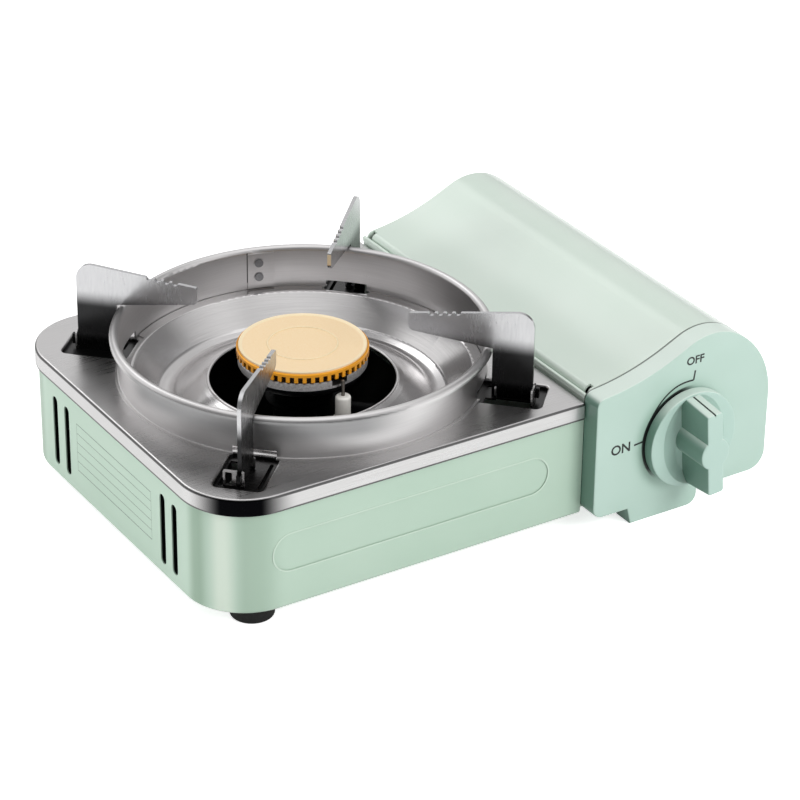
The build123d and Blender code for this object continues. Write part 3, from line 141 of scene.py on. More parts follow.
def drawing_point(tree):
    """The surface point in millimetres from the burner's axis."""
    coordinates = add(tree, "TexCoord")
    scaled = add(
        tree,
        "VectorMath",
        {1: (1 / MM, 1 / MM, 1 / MM)},
        {0: coordinates.outputs["Object"]},
        operation="MULTIPLY",
    )
    return add(
        tree,
        "VectorMath",
        {1: tuple(BURNER)},
        {0: scaled.outputs[0]},
        operation="SUBTRACT",
    ).outputs[0]


def stretch(tree, point, factors):
    """The point with each direction scaled, so that a noise turns into lines."""
    return add(tree, "VectorMath", {1: factors}, {0: point}, operation="MULTIPLY").outputs[0]


def split(tree, point):
    """The x, y and z of a point or direction."""
    return add(tree, "SeparateXYZ", {}, {0: point}).outputs


def length(tree, vector):
    """The length of a vector."""
    return add(tree, "VectorMath", {}, {0: vector}, operation="LENGTH").outputs["Value"]


def scaled_by(tree, value, factor):
    """A value times a number."""
    return add(tree, "Math", {1: factor}, {0: value}, operation="MULTIPLY").outputs[0]


def angle_of(tree, along, across):
    """The angle whose cosine side is along and whose sine side is across, in radians."""
    return add(tree, "Math", {}, {0: across, 1: along}, operation="ARCTAN2").outputs[0]


def in_degrees(tree, angle):
    """An angle in degrees."""
    return add(tree, "Math", {}, {0: angle}, operation="DEGREES").outputs[0]


def axis_distance(tree):
    """Distance from the burner's axis."""
    return length(tree, stretch(tree, drawing_point(tree), (1.0, 1.0, 0.0)))


def bearing(tree, sign):
    """Degrees round the burner: from the right with sign 1, from the left with sign -1."""
    x, y, _ = split(tree, stretch(tree, drawing_point(tree), (sign, sign, 1.0)))
    return in_degrees(tree, angle_of(tree, x, y))


def spun_point(tree):
    """The surface point as (radius, height, turn): lines of equal radius and height."""
    x, y, z = split(tree, drawing_point(tree))
    turn = scaled_by(tree, angle_of(tree, x, y), SPUN_STEP)
    links = {0: axis_distance(tree), 1: z, 2: turn}
    return add(tree, "CombineXYZ", {}, links).outputs[0]


print("one radian of a spun pattern counts as", SPUN_STEP, "mm")

# %% [markdown]
# ## Noise, masks and colour
# Grain and drift come from smooth noise whose size is given in millimetres. A soft step turns
# a height, a distance or an angle into a mask, and a few masks multiplied together pick out
# one place on a part. A mask then mixes two colours. A new material starts with nothing but
# its Principled shader, and one helper links what was computed to it.


# %% Values, masks and materials
def noise(tree, point, size_mm, detail=2.0, rough=0.5):
    """Smooth noise whose blobs are about size_mm wide."""
    return add(
        tree,
        "TexNoise",
        {"Scale": 1.0 / size_mm, "Detail": detail, "Roughness": rough},
        {"Vector": point},
    ).outputs["Fac"]


def spread(tree, factor, low, high, from_low=0.3, from_high=0.7):
    """A noise value stretched to run from low to high."""
    return add(
        tree,
        "MapRange",
        {"From Min": from_low, "From Max": from_high, "To Min": low, "To Max": high},
        {"Value": factor},
    ).outputs["Result"]


def soft_step(tree, value, start, end, top=1.0):
    """0 before start and top beyond end, with a smooth rise between them."""
    return add(
        tree,
        "MapRange",
        {"From Min": start, "From Max": end, "To Min": 0.0, "To Max": top},
        {"Value": value},
        interpolation_type="SMOOTHSTEP",
    ).outputs["Result"]


def combine(tree, operation, *values):
    """Several values joined by one operation, such as MULTIPLY or MAXIMUM."""
    joined = values[0]
    for value in values[1:]:
        joined = add(tree, "Math", {}, {0: joined, 1: value}, operation=operation).outputs[0]
    return joined


def rise_and_fall(tree, value, rise, fall, top=1.0):
    """0, then top, then 0 again; rise and fall are each the start and end of a soft step."""
    up = soft_step(tree, value, *rise, top)
    return combine(tree, "MULTIPLY", up, soft_step(tree, value, *fall))


def blend_colours(tree, factor, first, second):
    """Two colours mixed by a factor; each is a hex value or a colour socket."""
    mix = add(tree, "Mix", {}, {"Factor": factor}, data_type="RGBA")
    for socket, colour in ((6, first), (7, second)):
        if isinstance(colour, str):
            mix.inputs[socket].default_value = linear(colour)
        else:
            tree.links.new(colour, mix.inputs[socket])
    return mix.outputs[2]


def bump(tree, height, depth_mm, strength=1.0):
    """A bump from a height value; depth_mm is the real height of the relief."""
    return add(
        tree,
        "Bump",
        {"Strength": strength, "Distance": depth_mm * MM},
        {"Height": height},
    ).outputs[0]


def new_material(name, **values):
    """A material with only its Principled shader, whose plain sockets are set here."""
    material = bpy.data.materials.new(name)
    material.use_nodes = True
    tree = material.node_tree
    tree.nodes.clear()
    shader = add(tree, "BsdfPrincipled", values)
    add(tree, "OutputMaterial", {}, {0: shader.outputs[0]})
    return material, tree, shader


def feed(tree, shader, **links):
    """Link computed colour, roughness or normal to the shader."""
    for name, source in links.items():
        tree.links.new(source, shader.inputs[name.replace("_", " ")])


print("material helpers ready")

# %% [markdown]
# ## Baked enamel
# The case and the cover are pressed from thin steel sheet and sprayed with a satin mint
# enamel that is baked on. It gives the eye a soft, wide highlight with a faint sharper one
# over it, and very fine orange peel, about 2 mm wide. On the rounded corners of the case the
# colour carries painted shade, a painted highlight and painted shade again across the bend,
# following the turn of the corner. Inside the burner half the case is painted near black as
# shade, so the mint stops at the inner faces of the walls.

# %% Enamel
ORANGE_PEEL = 2.2
LEFT_WALL = -105.1
FRONT_WALL = -100.9
BACK_WALL = 109.9
CORNER = 32.4
FLOOR_TOP = 8.7
PARTITION = 102.2
CORE_REACH = 300.0  # half the folded outline's length, so its right end is out of the way
NO_LIMIT = 10000.0  # heights play no part in the outline


def baked_enamel(name, colour, shade, coat=0.35):
    """Satin enamel on pressed steel."""
    material, tree, shader = new_material(
        name,
        **{"Coat Weight": coat, "Coat Roughness": 0.2, "IOR": 1.5, "Metallic": 0.0},
    )
    point = drawing_point(tree)
    drift = noise(tree, point, 45.0, 1.0)
    peel = noise(tree, point, ORANGE_PEEL, 1.0)
    feed(
        tree,
        shader,
        Base_Color=blend_colours(tree, spread(tree, drift, 0.0, 1.0), colour, shade),
        Roughness=spread(tree, noise(tree, point, 9.0), 0.36, 0.42),
        Normal=bump(tree, peel, 0.02, 0.5),
    )
    return material, tree, shader


def from_core(tree):
    """Folded point of the burner half, measured from the centre of its rounded corner."""
    middle = (FRONT_WALL + BACK_WALL) / 2
    half = (BACK_WALL - FRONT_WALL) / 2
    moved = add(
        tree,
        "VectorMath",
        {1: (LEFT_WALL + CORE_REACH, middle, 0.0)},
        {0: drawing_point(tree)},
        operation="SUBTRACT",
    ).outputs[0]
    folded = add(tree, "VectorMath", {}, {0: moved}, operation="ABSOLUTE").outputs[0]
    return add(
        tree,
        "VectorMath",
        {1: (CORE_REACH - CORNER, half - CORNER, NO_LIMIT)},
        {0: folded},
        operation="SUBTRACT",
    ).outputs[0]


def outline_distance(tree):
    """Distance from the core of the burner half; its outline lies at a constant distance."""
    clipped = add(
        tree, "VectorMath", {1: (0.0, 0.0, 0.0)}, {0: from_core(tree)}, operation="MAXIMUM"
    )
    return length(tree, clipped.outputs[0])


def corner_turn(tree):
    """Degrees round a left corner: 0 on the left wall, 90 on the front or back wall."""
    x, y, _ = split(tree, from_core(tree))
    return in_degrees(tree, angle_of(tree, x, y))


def inside_burner_half(tree):
    """1 on the faces that look into the burner half of the case, 0 on those outside."""
    x, _, z = split(tree, drawing_point(tree))
    within = soft_step(tree, outline_distance(tree), CORNER - 0.5, CORNER - 0.7)
    above = soft_step(tree, z, FLOOR_TOP - 0.7, FLOOR_TOP - 0.5)
    left = soft_step(tree, x, PARTITION + 0.1, PARTITION - 0.1)
    return combine(tree, "MULTIPLY", within, above, left)


def painted_corner_light_and_shade(tree, colour):
    """Painted shade, a painted highlight and painted shade again across the rounded corners."""
    turn = corner_turn(tree)
    # painted shade, then a painted highlight, then painted shade again across the bend
    first = rise_and_fall(tree, turn, (1, 14), (30, 18))
    pale = rise_and_fall(tree, turn, (27, 39), (56, 43), 0.9)
    second = rise_and_fall(tree, turn, (50, 62), (100, 72), 0.5)
    deep = combine(tree, "MAXIMUM", first, second)
    corner_shaded = blend_colours(tree, deep, colour, "#93AE99")
    return blend_colours(tree, pale, corner_shaded, "#DCEADB")


cover_enamel, _, _ = baked_enamel("satin mint enamel, cover", "#D1DFD4", "#CCDCD0", 0.9)
case_enamel, tree, shader = baked_enamel("satin mint enamel, case", "#BAD1C0", "#B5CEBC")
mint = shader.inputs["Base Color"].links[0].from_socket
# painted shade: near black on the inner faces of the burner half; painted corner light and shade
# outside
feed(
    tree,
    shader,
    Base_Color=blend_colours(tree, inside_burner_half(tree), painted_corner_light_and_shade(tree, mint), "#070808"),
)
# a paler mint for the front frame's raised bead: a painted highlight
case_line_highlight, _, _ = baked_enamel("satin mint enamel, raised line", "#C9DCCD", "#C4D8C8")
print("enamels:", case_enamel.name, "and", cover_enamel.name)

# %% [markdown]
# ## Stainless steel
# The top pan is cut from brushed coil: fine straight scratches run along it. The windshield
# is a rolled strip and the drip tray is deep drawn, so their faint lines run around the
# burner. Stainless is a warm light grey, and its roughness decides how soft the studio looks
# in it. The scratches are about 0.4 mm wide here, a little coarser than real ones, so that
# they still show in a picture of the whole stove. Shade and reflections are painted darker into
# the steel's colour in places: in the recesses, along both edges of the rolled-down band and on
# its rounded corners, on part of the windshield and at the feet of the pot supports. Each of
# those places is a mask of soft steps.


# %% Stainless
def stainless(name, colour, shade, line_point, low, high, tint=None, relief=0.004):
    """Stainless steel whose fine lines follow the direction in which line_point is long."""
    material, tree, shader = new_material(name, **{"Metallic": 1.0})
    lines = noise(tree, line_point(tree), 1.0, 3.0, 0.6)
    clouds = noise(tree, drawing_point(tree), 28.0, 2.0)
    base = blend_colours(tree, spread(tree, lines, 0.0, 1.0), colour, shade)
    soft = spread(tree, lines, low, high)
    feed(
        tree,
        shader,
        Base_Color=tint(tree, base) if tint else base,
        Roughness=combine(tree, "ADD", soft, spread(tree, clouds, -0.03, 0.05)),
        Normal=bump(tree, lines, relief, 0.5),
    )
    return material


def along_x(tree):
    """Long in x, 0.4 mm across."""
    return stretch(tree, drawing_point(tree), (0.02, 2.5, 2.5))


def around_burner(tree):
    """Long around the burner's axis, 0.5 mm across."""
    return stretch(tree, spun_point(tree), (2.0, 2.0, 1.0))


def along_plate(tree):
    """Short lines up a blanked plate."""
    return stretch(tree, drawing_point(tree), (1.2, 1.2, 0.15))


def pan_painted_shade_and_reflection(tree, steel):
    """Painted shade in the pressed recesses and along both edges of the rolled-down band, and a
    painted dark reflection on the band's rounded corners.
    """
    x, _, z = split(tree, drawing_point(tree))
    distance = outline_distance(tree)
    turn = corner_turn(tree)
    band = soft_step(tree, distance, 32.2, 32.8)
    upper_edge = rise_and_fall(tree, z, (69.9, 70.3), (71.4, 71.1))
    lower_edge = soft_step(tree, z, 63.6, 63.1)
    below_top = soft_step(tree, z, 71.3, 70.9)
    round_bend = rise_and_fall(tree, turn, (8, 42), (108, 74), 1.22)
    sunk = soft_step(tree, z, 70.8, 69.9)
    inside_band = soft_step(tree, distance, 31.6, 31.0, 1.1)
    left_of_bay = soft_step(tree, x, 98.5, 97.5)

    # painted shade on the band's edges and in the recesses, painted dark reflection on the
    # band's corners
    edges = combine(
        tree,
        "MAXIMUM",
        combine(tree, "MULTIPLY", band, upper_edge),
        combine(tree, "MULTIPLY", band, lower_edge),
    )
    deeper = combine(
        tree,
        "MAXIMUM",
        combine(tree, "MULTIPLY", band, below_top, round_bend),
        combine(tree, "MULTIPLY", sunk, inside_band, left_of_bay),
    )
    dull = combine(
        tree, "MAXIMUM", scaled_by(tree, edges, 0.8), scaled_by(tree, deeper, 0.82)
    )
    return blend_colours(tree, dull, steel, "#08080A")


def ring_painted_reflection(tree, steel):
    """Painted reflection: the rolled strip is greyer along the front's upper wall and darker
    inside the right.
    """
    radius = axis_distance(tree)
    z = split(tree, drawing_point(tree))[2]
    outside = soft_step(tree, radius, 91.4, 91.8)
    below_lip = soft_step(tree, z, 94.2, 93.4)
    upper_wall = soft_step(tree, z, 76.0, 86.0, 0.85)
    front = rise_and_fall(tree, bearing(tree, -1.0), (-10, 4), (98, 76))
    inside = soft_step(tree, radius, 91.5, 91.3, 0.75)
    right_side = rise_and_fall(tree, bearing(tree, 1.0), (22, -22), (-75, -45))
    # painted reflection: grey on the front's upper wall, near black inside the right
    grey = combine(tree, "MULTIPLY", outside, below_lip, upper_wall, front)
    inner = combine(tree, "MULTIPLY", inside, right_side)
    shaded = blend_colours(tree, inner, steel, "#3A3A3C")
    return blend_colours(tree, grey, shaded, "#8A8A8B")


def arm_painted_shade(tree, steel):
    """Painted shade: the pot supports darken toward their feet; their upper edges stay bright.
    """
    # painted shade, toward near black below 103 mm
    z = split(tree, drawing_point(tree))[2]
    return blend_colours(tree, soft_step(tree, z, 103.0, 93.0, 0.95), steel, "#0B0B0C")


pan_steel = stainless(
    "brushed stainless coil", "#D8D7D7", "#CFCDCD", along_x, 0.24, 0.33, pan_painted_shade_and_reflection
)
ring_steel = stainless(
    "rolled stainless strip", "#DEDCDC", "#D8D6D6", around_burner, 0.3, 0.37, ring_painted_reflection, 0.003
)
tray_steel = stainless("deep drawn stainless", "#DCDADA", "#D3D1D1", around_burner, 0.14, 0.22)
arm_steel = stainless(
    "blanked stainless plate", "#CFCFD0", "#CACACC", along_plate, 0.2, 0.28, arm_painted_shade, 0.001
)
print("stainless:", pan_steel.name, ring_steel.name, tray_steel.name, arm_steel.name)

# %% [markdown]
# ## Brass cap
# The flame cap is turned from brass. Its top is finely blasted, which makes it pale and
# sandy, while the toothed rim below keeps the deep yellow of cut brass, and the gaps between
# its teeth are painted near black as shade. One height splits the two finishes. Blasted brass
# mirrors little, so its metallic value is low.

# %% Brass
CAP_TOP = 86.3
cap_brass, tree, shader = new_material("turned and blasted brass", **{"Metallic": 0.35})
point = drawing_point(tree)
height = split(tree, point)[2]
on_top = spread(tree, height, 0.0, 1.0, CAP_TOP - 0.9, CAP_TOP - 0.3)
grit = noise(tree, point, 0.7, 2.0, 0.7)
pale = blend_colours(tree, spread(tree, grit, 0.0, 1.0), "#FFEECD", "#FAE5BC")
# painted shade: the gaps between the teeth, below the rim, go near black
behind_teeth = soft_step(tree, axis_distance(tree), 32.2, 31.2, 0.94)
below_rim = soft_step(tree, height, CAP_TOP - 2.0, CAP_TOP - 2.4)
painted_shade_between_teeth = combine(tree, "MULTIPLY", behind_teeth, below_rim)
cut = blend_colours(tree, painted_shade_between_teeth, "#F0A210", "#140A02")
feed(
    tree,
    shader,
    Base_Color=blend_colours(tree, on_top, cut, pale),
    Roughness=spread(tree, on_top, 0.24, 0.5, 0.0, 1.0),
    Normal=bump(tree, grit, 0.03, 0.5),
)
jet_brass = stainless("turned brass", "#D8B468", "#CBA85F", around_burner, 0.2, 0.3)
print("brass:", cap_brass.name)

# %% [markdown]
# ## Castings, plating and wire
# The burner ring and the regulator are die castings: a light grey metal with a fine grain and
# a soft sheen. Brackets are zinc plated, which has a cloudy spangle a few millimetres wide.
# Screws and pins are nickel plated and nearly mirror-bright. The gas pipe is drawn copper.
# The rivets are plain dull steel, the spark wire is dark from the flame, and the burner's
# hidden base, mixing tube and electrode bracket have a black heat finish, which also stands in
# for the shade under the ring.


# %% Cast and plated metals
def grained_metal(name, colour, shade, grain_mm, low, high, relief):
    """A metal whose colour and roughness vary in blobs about grain_mm wide."""
    material, tree, shader = new_material(name, **{"Metallic": 1.0})
    grain = noise(tree, drawing_point(tree), grain_mm, 3.0, 0.6)
    feed(
        tree,
        shader,
        Base_Color=blend_colours(tree, spread(tree, grain, 0.0, 1.0), colour, shade),
        Roughness=spread(tree, grain, low, high),
        Normal=bump(tree, grain, relief, 0.5),
    )
    return material


cast_aluminium = grained_metal("die cast aluminium", "#CFCFCF", "#A9A9AA", 0.9, 0.35, 0.5, 0.06)
cast_zinc = grained_metal("die cast zinc", "#A9ABAD", "#94969A", 1.4, 0.35, 0.48, 0.05)
zinc_plate = grained_metal("zinc plated steel", "#C6C8C4", "#A8ABA9", 5.0, 0.26, 0.4, 0.01)
nickel_plate = grained_metal("nickel plated steel", "#D9D4CA", "#C9C4BA", 6.0, 0.12, 0.2, 0.005)
copper = grained_metal("drawn copper", "#D08E6C", "#B87452", 7.0, 0.22, 0.36, 0.01)
hot_wire = grained_metal("heat darkened wire", "#8C8780", "#6A655F", 1.5, 0.35, 0.5, 0.02)
# black heat finish that also stands in for the shade under the windshield ring
black_heat_finish_and_shade = grained_metal("black heat finish", "#17181A", "#0C0D0E", 1.1, 0.45, 0.6, 0.03)
rivet_steel = grained_metal("dull rivet steel", "#9C9C9E", "#8E8E91", 1.2, 0.3, 0.4, 0.01)
print("metals ready")

# %% [markdown]
# ## Plastics, rubber and ceramic
# The control panel and the knob are moulded ABS. The mould is spark eroded, so the surface
# has a fine matt grain about half a millimetre wide, under a faint clear sheen. Faces toward
# the burner carry painted shade and upward faces a paler painted sheen. The panel carries a
# painted shadow at the knob's seat and painted shade about the knob, and its joint to the
# cover is dark. The feet are black rubber, which is rougher still. The spark plug body is glazed
# ceramic, smooth and a little creamy.


# %% Moulded materials
def moulded(name, colour, shade, grain_mm, rough, relief, tint=None, **values):
    """A moulded material with a fine even grain."""
    material, tree, shader = new_material(name, **values)
    point = drawing_point(tree)
    grain = noise(tree, point, grain_mm, 1.0)
    drift = noise(tree, point, 30.0, 1.0)
    base = blend_colours(tree, spread(tree, drift, 0.0, 1.0), colour, shade)
    feed(
        tree,
        shader,
        Base_Color=tint(tree, base) if tint else base,
        Roughness=spread(tree, grain, rough - 0.03, rough + 0.04),
        Normal=bump(tree, grain, relief, 0.5),
    )
    return material


KNOB_AT = (157.1, 42.55)
KNOB_R = 26.05
PANEL_FRONT = -111.8
SHADE_TOWARD = math.radians(155)  # from the knob toward the burner, seen from the front


def painted_side_shade_and_top_sheen(tree, colour):
    """Painted shade on the faces toward the burner, and a paler painted sheen on upward faces.
    """
    across, _, up = split(tree, add(tree, "TexCoord").outputs["Normal"])
    # painted shade toward the burner and a painted sheen on upward faces
    painted_top_sheen = blend_colours(tree, soft_step(tree, up, 0.4, 0.85, 0.7), colour, "#DFE9E1")
    return blend_colours(tree, soft_step(tree, across, -0.55, -0.97), painted_top_sheen, "#66897A")


def panel_painted_shade_and_joint(tree, colour):
    """Painted shadow at the knob's seat, painted shade about the knob, and the dark joint to the
    cover.
    """
    x, y, z = split(tree, drawing_point(tree))
    knob_axis = (KNOB_AT[0], 0.0, KNOB_AT[1])
    aim = (math.cos(SHADE_TOWARD), 0.0, math.sin(SHADE_TOWARD))
    flat = add(tree, "CombineXYZ", {}, {0: x, 2: z}).outputs[0]
    offset = add(tree, "VectorMath", {1: knob_axis}, {0: flat}, operation="SUBTRACT").outputs[0]
    radius = length(tree, offset)
    unit = add(tree, "VectorMath", {}, {0: offset}, operation="NORMALIZE").outputs[0]
    facing = add(tree, "VectorMath", {1: aim}, {0: unit}, operation="DOT_PRODUCT")
    toward = facing.outputs["Value"]

    # painted shadow at the knob's seat and painted shade about the knob
    under_knob = soft_step(tree, radius, KNOB_R + 1.7, KNOB_R + 1.0)
    toward_burner = soft_step(tree, toward, 0.25, 0.6)
    on_front_face = soft_step(tree, y, PANEL_FRONT + 0.8, PANEL_FRONT + 0.4)
    seat = combine(tree, "MULTIPLY", under_knob, toward_burner, on_front_face)
    near_knob = soft_step(tree, radius, KNOB_R + 9.0, KNOB_R, 0.6)
    knob_shade_halo = combine(tree, "MULTIPLY", near_knob, soft_step(tree, toward, -0.3, 0.8))
    joint = soft_step(tree, y, FRONT_WALL, FRONT_WALL + 0.4, 0.8)
    halo_shaded = blend_colours(tree, knob_shade_halo, painted_side_shade_and_top_sheen(tree, colour), "#86AC99")
    return blend_colours(tree, combine(tree, "MAXIMUM", seat, joint), halo_shaded, "#101413")


SATIN_COAT = {"IOR": 1.53, "Coat Weight": 0.5, "Coat Roughness": 0.25}
panel_abs = moulded(
    "moulded mint ABS, panel", "#BCD5CA", "#B7D1C5", 0.5, 0.46, 0.02, panel_painted_shade_and_joint, **SATIN_COAT
)
knob_abs = moulded(
    "moulded mint ABS, knob", "#B8D3C9", "#B3CFC4", 0.5, 0.42, 0.02, painted_side_shade_and_top_sheen, **SATIN_COAT
)
black_abs = moulded("moulded black ABS", "#1C1D1E", "#161718", 0.6, 0.5, 0.02, IOR=1.53)
acetal = moulded("natural acetal", "#E9E4D8", "#E2DCCD", 0.8, 0.35, 0.01, IOR=1.48)
foot_rubber = moulded("black foot rubber", "#0C0C0C", "#090909", 0.8, 0.8, 0.05, IOR=1.52)
ceramic = moulded("glazed ceramic", "#F3F1EC", "#E9E6DF", 6.0, 0.16, 0.01, IOR=1.6)
print("plastics ready")

# %% [markdown]
# ## Dress the CAD parts
# Each CAD part keeps its shape and takes one of the materials above. The table goes from a
# finish to the parts that have it, which is how a maker would list them, and the print at the
# end names any part that was forgotten.

# %% Give every part its material
FINISHES = {
    case_enamel: ["lower_case"],
    cover_enamel: ["cartridge_cover", "partition"],
    pan_steel: ["top_pan"],
    ring_steel: ["windshield_ring"],
    rivet_steel: ["windshield_rivets"],
    tray_steel: ["drip_tray"],
    arm_steel: [
        "pot_support_front_left",
        "pot_support_back_left",
        "pot_support_front_right",
        "pot_support_back_right",
    ],
    cap_brass: ["burner_cap"],
    cast_aluminium: ["burner_ring"],
    cast_zinc: ["regulator_body", "cartridge_seat"],
    zinc_plate: [
        "burner_bracket",
        "hinge_brackets",
        "regulator_bracket",
        "cartridge_cradle",
    ],
    black_heat_finish_and_shade: ["burner_base", "mixing_tube", "electrode_bracket"],
    nickel_plate: [
        "hinge_pins",
        "knob_spindle",
        "case_screws",
        "panel_screws",
        "regulator_screws",
        "seat_magnets",
    ],
    jet_brass: ["gas_nozzle", "regulator_cap"],
    copper: ["gas_pipe"],
    hot_wire: ["electrode_wire"],
    panel_abs: ["control_panel"],
    knob_abs: ["knob"],
    black_abs: ["piezo_igniter", "igniter_cam"],
    acetal: ["piezo_plunger"],
    foot_rubber: ["rubber_feet", "valve_seal"],
    ceramic: ["electrode_insulator"],
}
dressed = set()
for material, names in FINISHES.items():
    for name in names:
        nodes[name].data.materials.clear()
        nodes[name].data.materials.append(material)
        dressed.add(name)
print("still plain:", sorted(set(nodes) - dressed))

# %% [markdown]
# ## Printing and drawn lines
# Marks on the panel are silk screened: a black arc round the knob from OFF to ON, with a tick
# at each end. A thin frame with ruled lines stands on the left wall where a label would go, a
# fine raised line in paler mint, a painted highlight, follows the long frame pressed in the
# front wall, and a dark strip of painted shadow marks where the rolled ring laps over itself.
# All of them are ribbons: a line of points on a wall, given a width and a thickness. A ribbon
# sinks a little into its wall, so no gap shows.


# %% Walls to draw on
RING_INNER = 91.2
LAP_AT = math.radians(78.0)


def on_panel(u, v, w):
    """Point of the control panel's front: u to the right, v up, w out of it."""
    return place(u, PANEL_FRONT - w, v)


def on_front(u, v, w):
    """Point of the case's front wall."""
    return place(u, FRONT_WALL - w, v)


def on_left(u, v, w):
    """Point of the case's left wall: u is the drawing's y."""
    return place(LEFT_WALL - w, u, v)


def on_lap(u, v, w):
    """Point of the ring's inner wall at its lap."""
    angle = LAP_AT - u / RING_INNER
    reach = RING_INNER - w
    return place(reach * math.cos(angle), reach * math.sin(angle), v)


print("lap at", round(math.degrees(LAP_AT)), "degrees round the ring")


# %% Ribbons
def strip_piece(name, rings, material, closed=False):
    """A piece whose skin runs through rings of four points, with ends unless it is closed."""
    mesh = bmesh.new()
    rows = [[mesh.verts.new(corner) for corner in ring] for ring in rings]
    onward = rows[1:] + rows[:1] if closed else rows[1:]
    for first, second in zip(rows, onward):
        for k in range(4):
            mesh.faces.new((first[k], first[(k + 1) % 4], second[(k + 1) % 4], second[k]))
    if not closed:
        mesh.faces.new(rows[0])
        mesh.faces.new(list(reversed(rows[-1])))
    bmesh.ops.recalc_face_normals(mesh, faces=mesh.faces)
    data = bpy.data.meshes.new(name)
    mesh.to_mesh(data)
    mesh.free()
    data.materials.append(material)
    piece = bpy.data.objects.new(name, data)
    bpy.context.scene.collection.objects.link(piece)
    return piece


def ribbon(name, wall, points, width, thickness, material, closed=False, sunk=0.02):
    """A line of points on a wall, given a width and a thickness in millimetres."""
    rings = []
    count = len(points)
    for index, (u, v) in enumerate(points):
        before = points[index - 1] if index or closed else (u, v)
        after = points[(index + 1) % count] if index < count - 1 or closed else (u, v)
        ahead = Vector((after[0] - before[0], after[1] - before[1])).normalized()
        side = Vector((-ahead.y, ahead.x)) * width / 2
        left, right = (u + side.x, v + side.y), (u - side.x, v - side.y)
        rings.append(
            (
                wall(*left, -sunk),
                wall(*left, thickness),
                wall(*right, thickness),
                wall(*right, -sunk),
            )
        )
    return strip_piece(name, rings, material, closed)


def arc_points(centre, radius, start, end, steps):
    """Points of an arc, from one angle to another in degrees."""
    angles = [math.radians(start + (end - start) * k / steps) for k in range(steps + 1)]
    return [(centre[0] + radius * math.cos(a), centre[1] + radius * math.sin(a)) for a in angles]


ink = moulded("silk screen ink", "#141716", "#1B1F1D", 0.6, 0.4, 0.005, IOR=1.5)
label_line = moulded("thin printed line", "#5F7267", "#66796E", 0.8, 0.45, 0.005, IOR=1.5)
print("ribbons ready")

# %% [markdown]
# ## Marks of the panel
# The dial's arc isn't quite round the knob: it draws in toward it on the way from OFF to ON.
# Printed ink is about 0.03 mm thick. The two words are plain generic letters.

# %% Marks of the panel
ARC_NEAR, ARC_FAR = 27.0, 30.1
OFF_AT, ON_AT = 85.0, 173.0
DRAWN_IN_AT, EASE = 150.0, 52.0  # degrees where the arc is nearest, and over which it gets there
OFF_TICK_END, ON_TICK_END = (160.5, 77.8), (124.8, 45.3)
INK_THICK = 0.03
LETTER_LIFT = 0.02
CAPITAL_SHARE = 0.72  # a capital's height as a share of the font's size
INK_SPREAD = 0.14  # ink makes a stroke this much bolder at each edge


def dial_arc(steps):
    """The arc from OFF to ON: it draws in toward the knob on its way."""
    points = []
    for k in range(steps + 1):
        degrees = OFF_AT + (ON_AT - OFF_AT) * k / steps
        rise = min(max((DRAWN_IN_AT - degrees) / EASE, 0.0), 1.0)
        radius = ARC_NEAR + (ARC_FAR - ARC_NEAR) * rise * rise * (3 - 2 * rise)
        points += arc_points(KNOB_AT, radius, degrees, degrees, 1)[:1]
    return points


def letters(name, text, centre, height_mm):
    """Generic lettering printed on the control panel."""
    curve = bpy.data.curves.new(name, "FONT")
    curve.body = text
    curve.size = height_mm * MM / CAPITAL_SHARE
    curve.align_x = "CENTER"
    curve.align_y = "CENTER"
    curve.extrude = INK_THICK * MM
    curve.offset = INK_SPREAD * MM
    curve.materials.append(ink)
    piece = bpy.data.objects.new(name, curve)
    bpy.context.scene.collection.objects.link(piece)
    piece.location = on_panel(*centre, LETTER_LIFT)
    piece.rotation_euler = (math.radians(90), 0, 0)
    return piece


arc = dial_arc(40)
prints = [
    ribbon("dial_arc", on_panel, arc, 0.95, INK_THICK, ink),
    ribbon("dial_tick_off", on_panel, [arc[0], OFF_TICK_END], 1.0, INK_THICK, ink),
    ribbon("dial_tick_on", on_panel, [arc[-1], ON_TICK_END], 1.0, INK_THICK, ink),
    letters("mark_off", "OFF", (160.2, 83.6), 4.4),
    letters("mark_on", "ON", (116.8, 45.3), 5.4),
]
for piece in prints:
    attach(piece, "root")
print("panel marks:", len(prints))

# %% [markdown]
# ## Lines of the walls
# The label's place is bare but for its frame and four rules. The front wall's pressed frame
# is a stadium, two half circles joined by straight lines, with a fine raised bead along its edge
# in paler mint, a painted highlight. The ring's lap shows as one dark strip of painted shadow up
# its inner wall.

# %% Frames of the walls
LABEL_TOP, LABEL_FOOT = 49.0, 22.4
LABEL_FAR, LABEL_NEAR = 44.0, -34.5
RULE_PITCH, RULE_INSET = 5.32, 0.2
FRAME_LEFT, FRAME_RIGHT = -75.6, 81.1
FRAME_LOW, FRAME_HIGH = 27.3, 48.0
LAP_FOOT, LAP_TOP = 76.5, 93.4

label_frame = [
    (LABEL_FAR, LABEL_TOP),
    (LABEL_FAR, LABEL_FOOT),
    (LABEL_NEAR, LABEL_FOOT),
    (LABEL_NEAR, LABEL_TOP),
]
end_radius = (FRAME_HIGH - FRAME_LOW) / 2
middle_z = (FRAME_HIGH + FRAME_LOW) / 2
stadium = arc_points((FRAME_RIGHT - end_radius, middle_z), end_radius, -90, 90, 24)
stadium += arc_points((FRAME_LEFT + end_radius, middle_z), end_radius, 90, 270, 24)
lines = [
    ribbon("label_frame", on_left, label_frame, 0.35, INK_THICK, label_line, True),
    ribbon("front_frame_line", on_front, stadium, 0.8, 0.12, case_line_highlight, True),
]
for k in (1, 2, 3, 4):
    z = LABEL_TOP - k * RULE_PITCH
    rule = [(LABEL_FAR - RULE_INSET, z), (LABEL_NEAR + RULE_INSET, z)]
    lines.append(ribbon(f"label_rule_{k}", on_left, rule, 0.25, INK_THICK, label_line))
for piece in lines:
    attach(piece, "root")
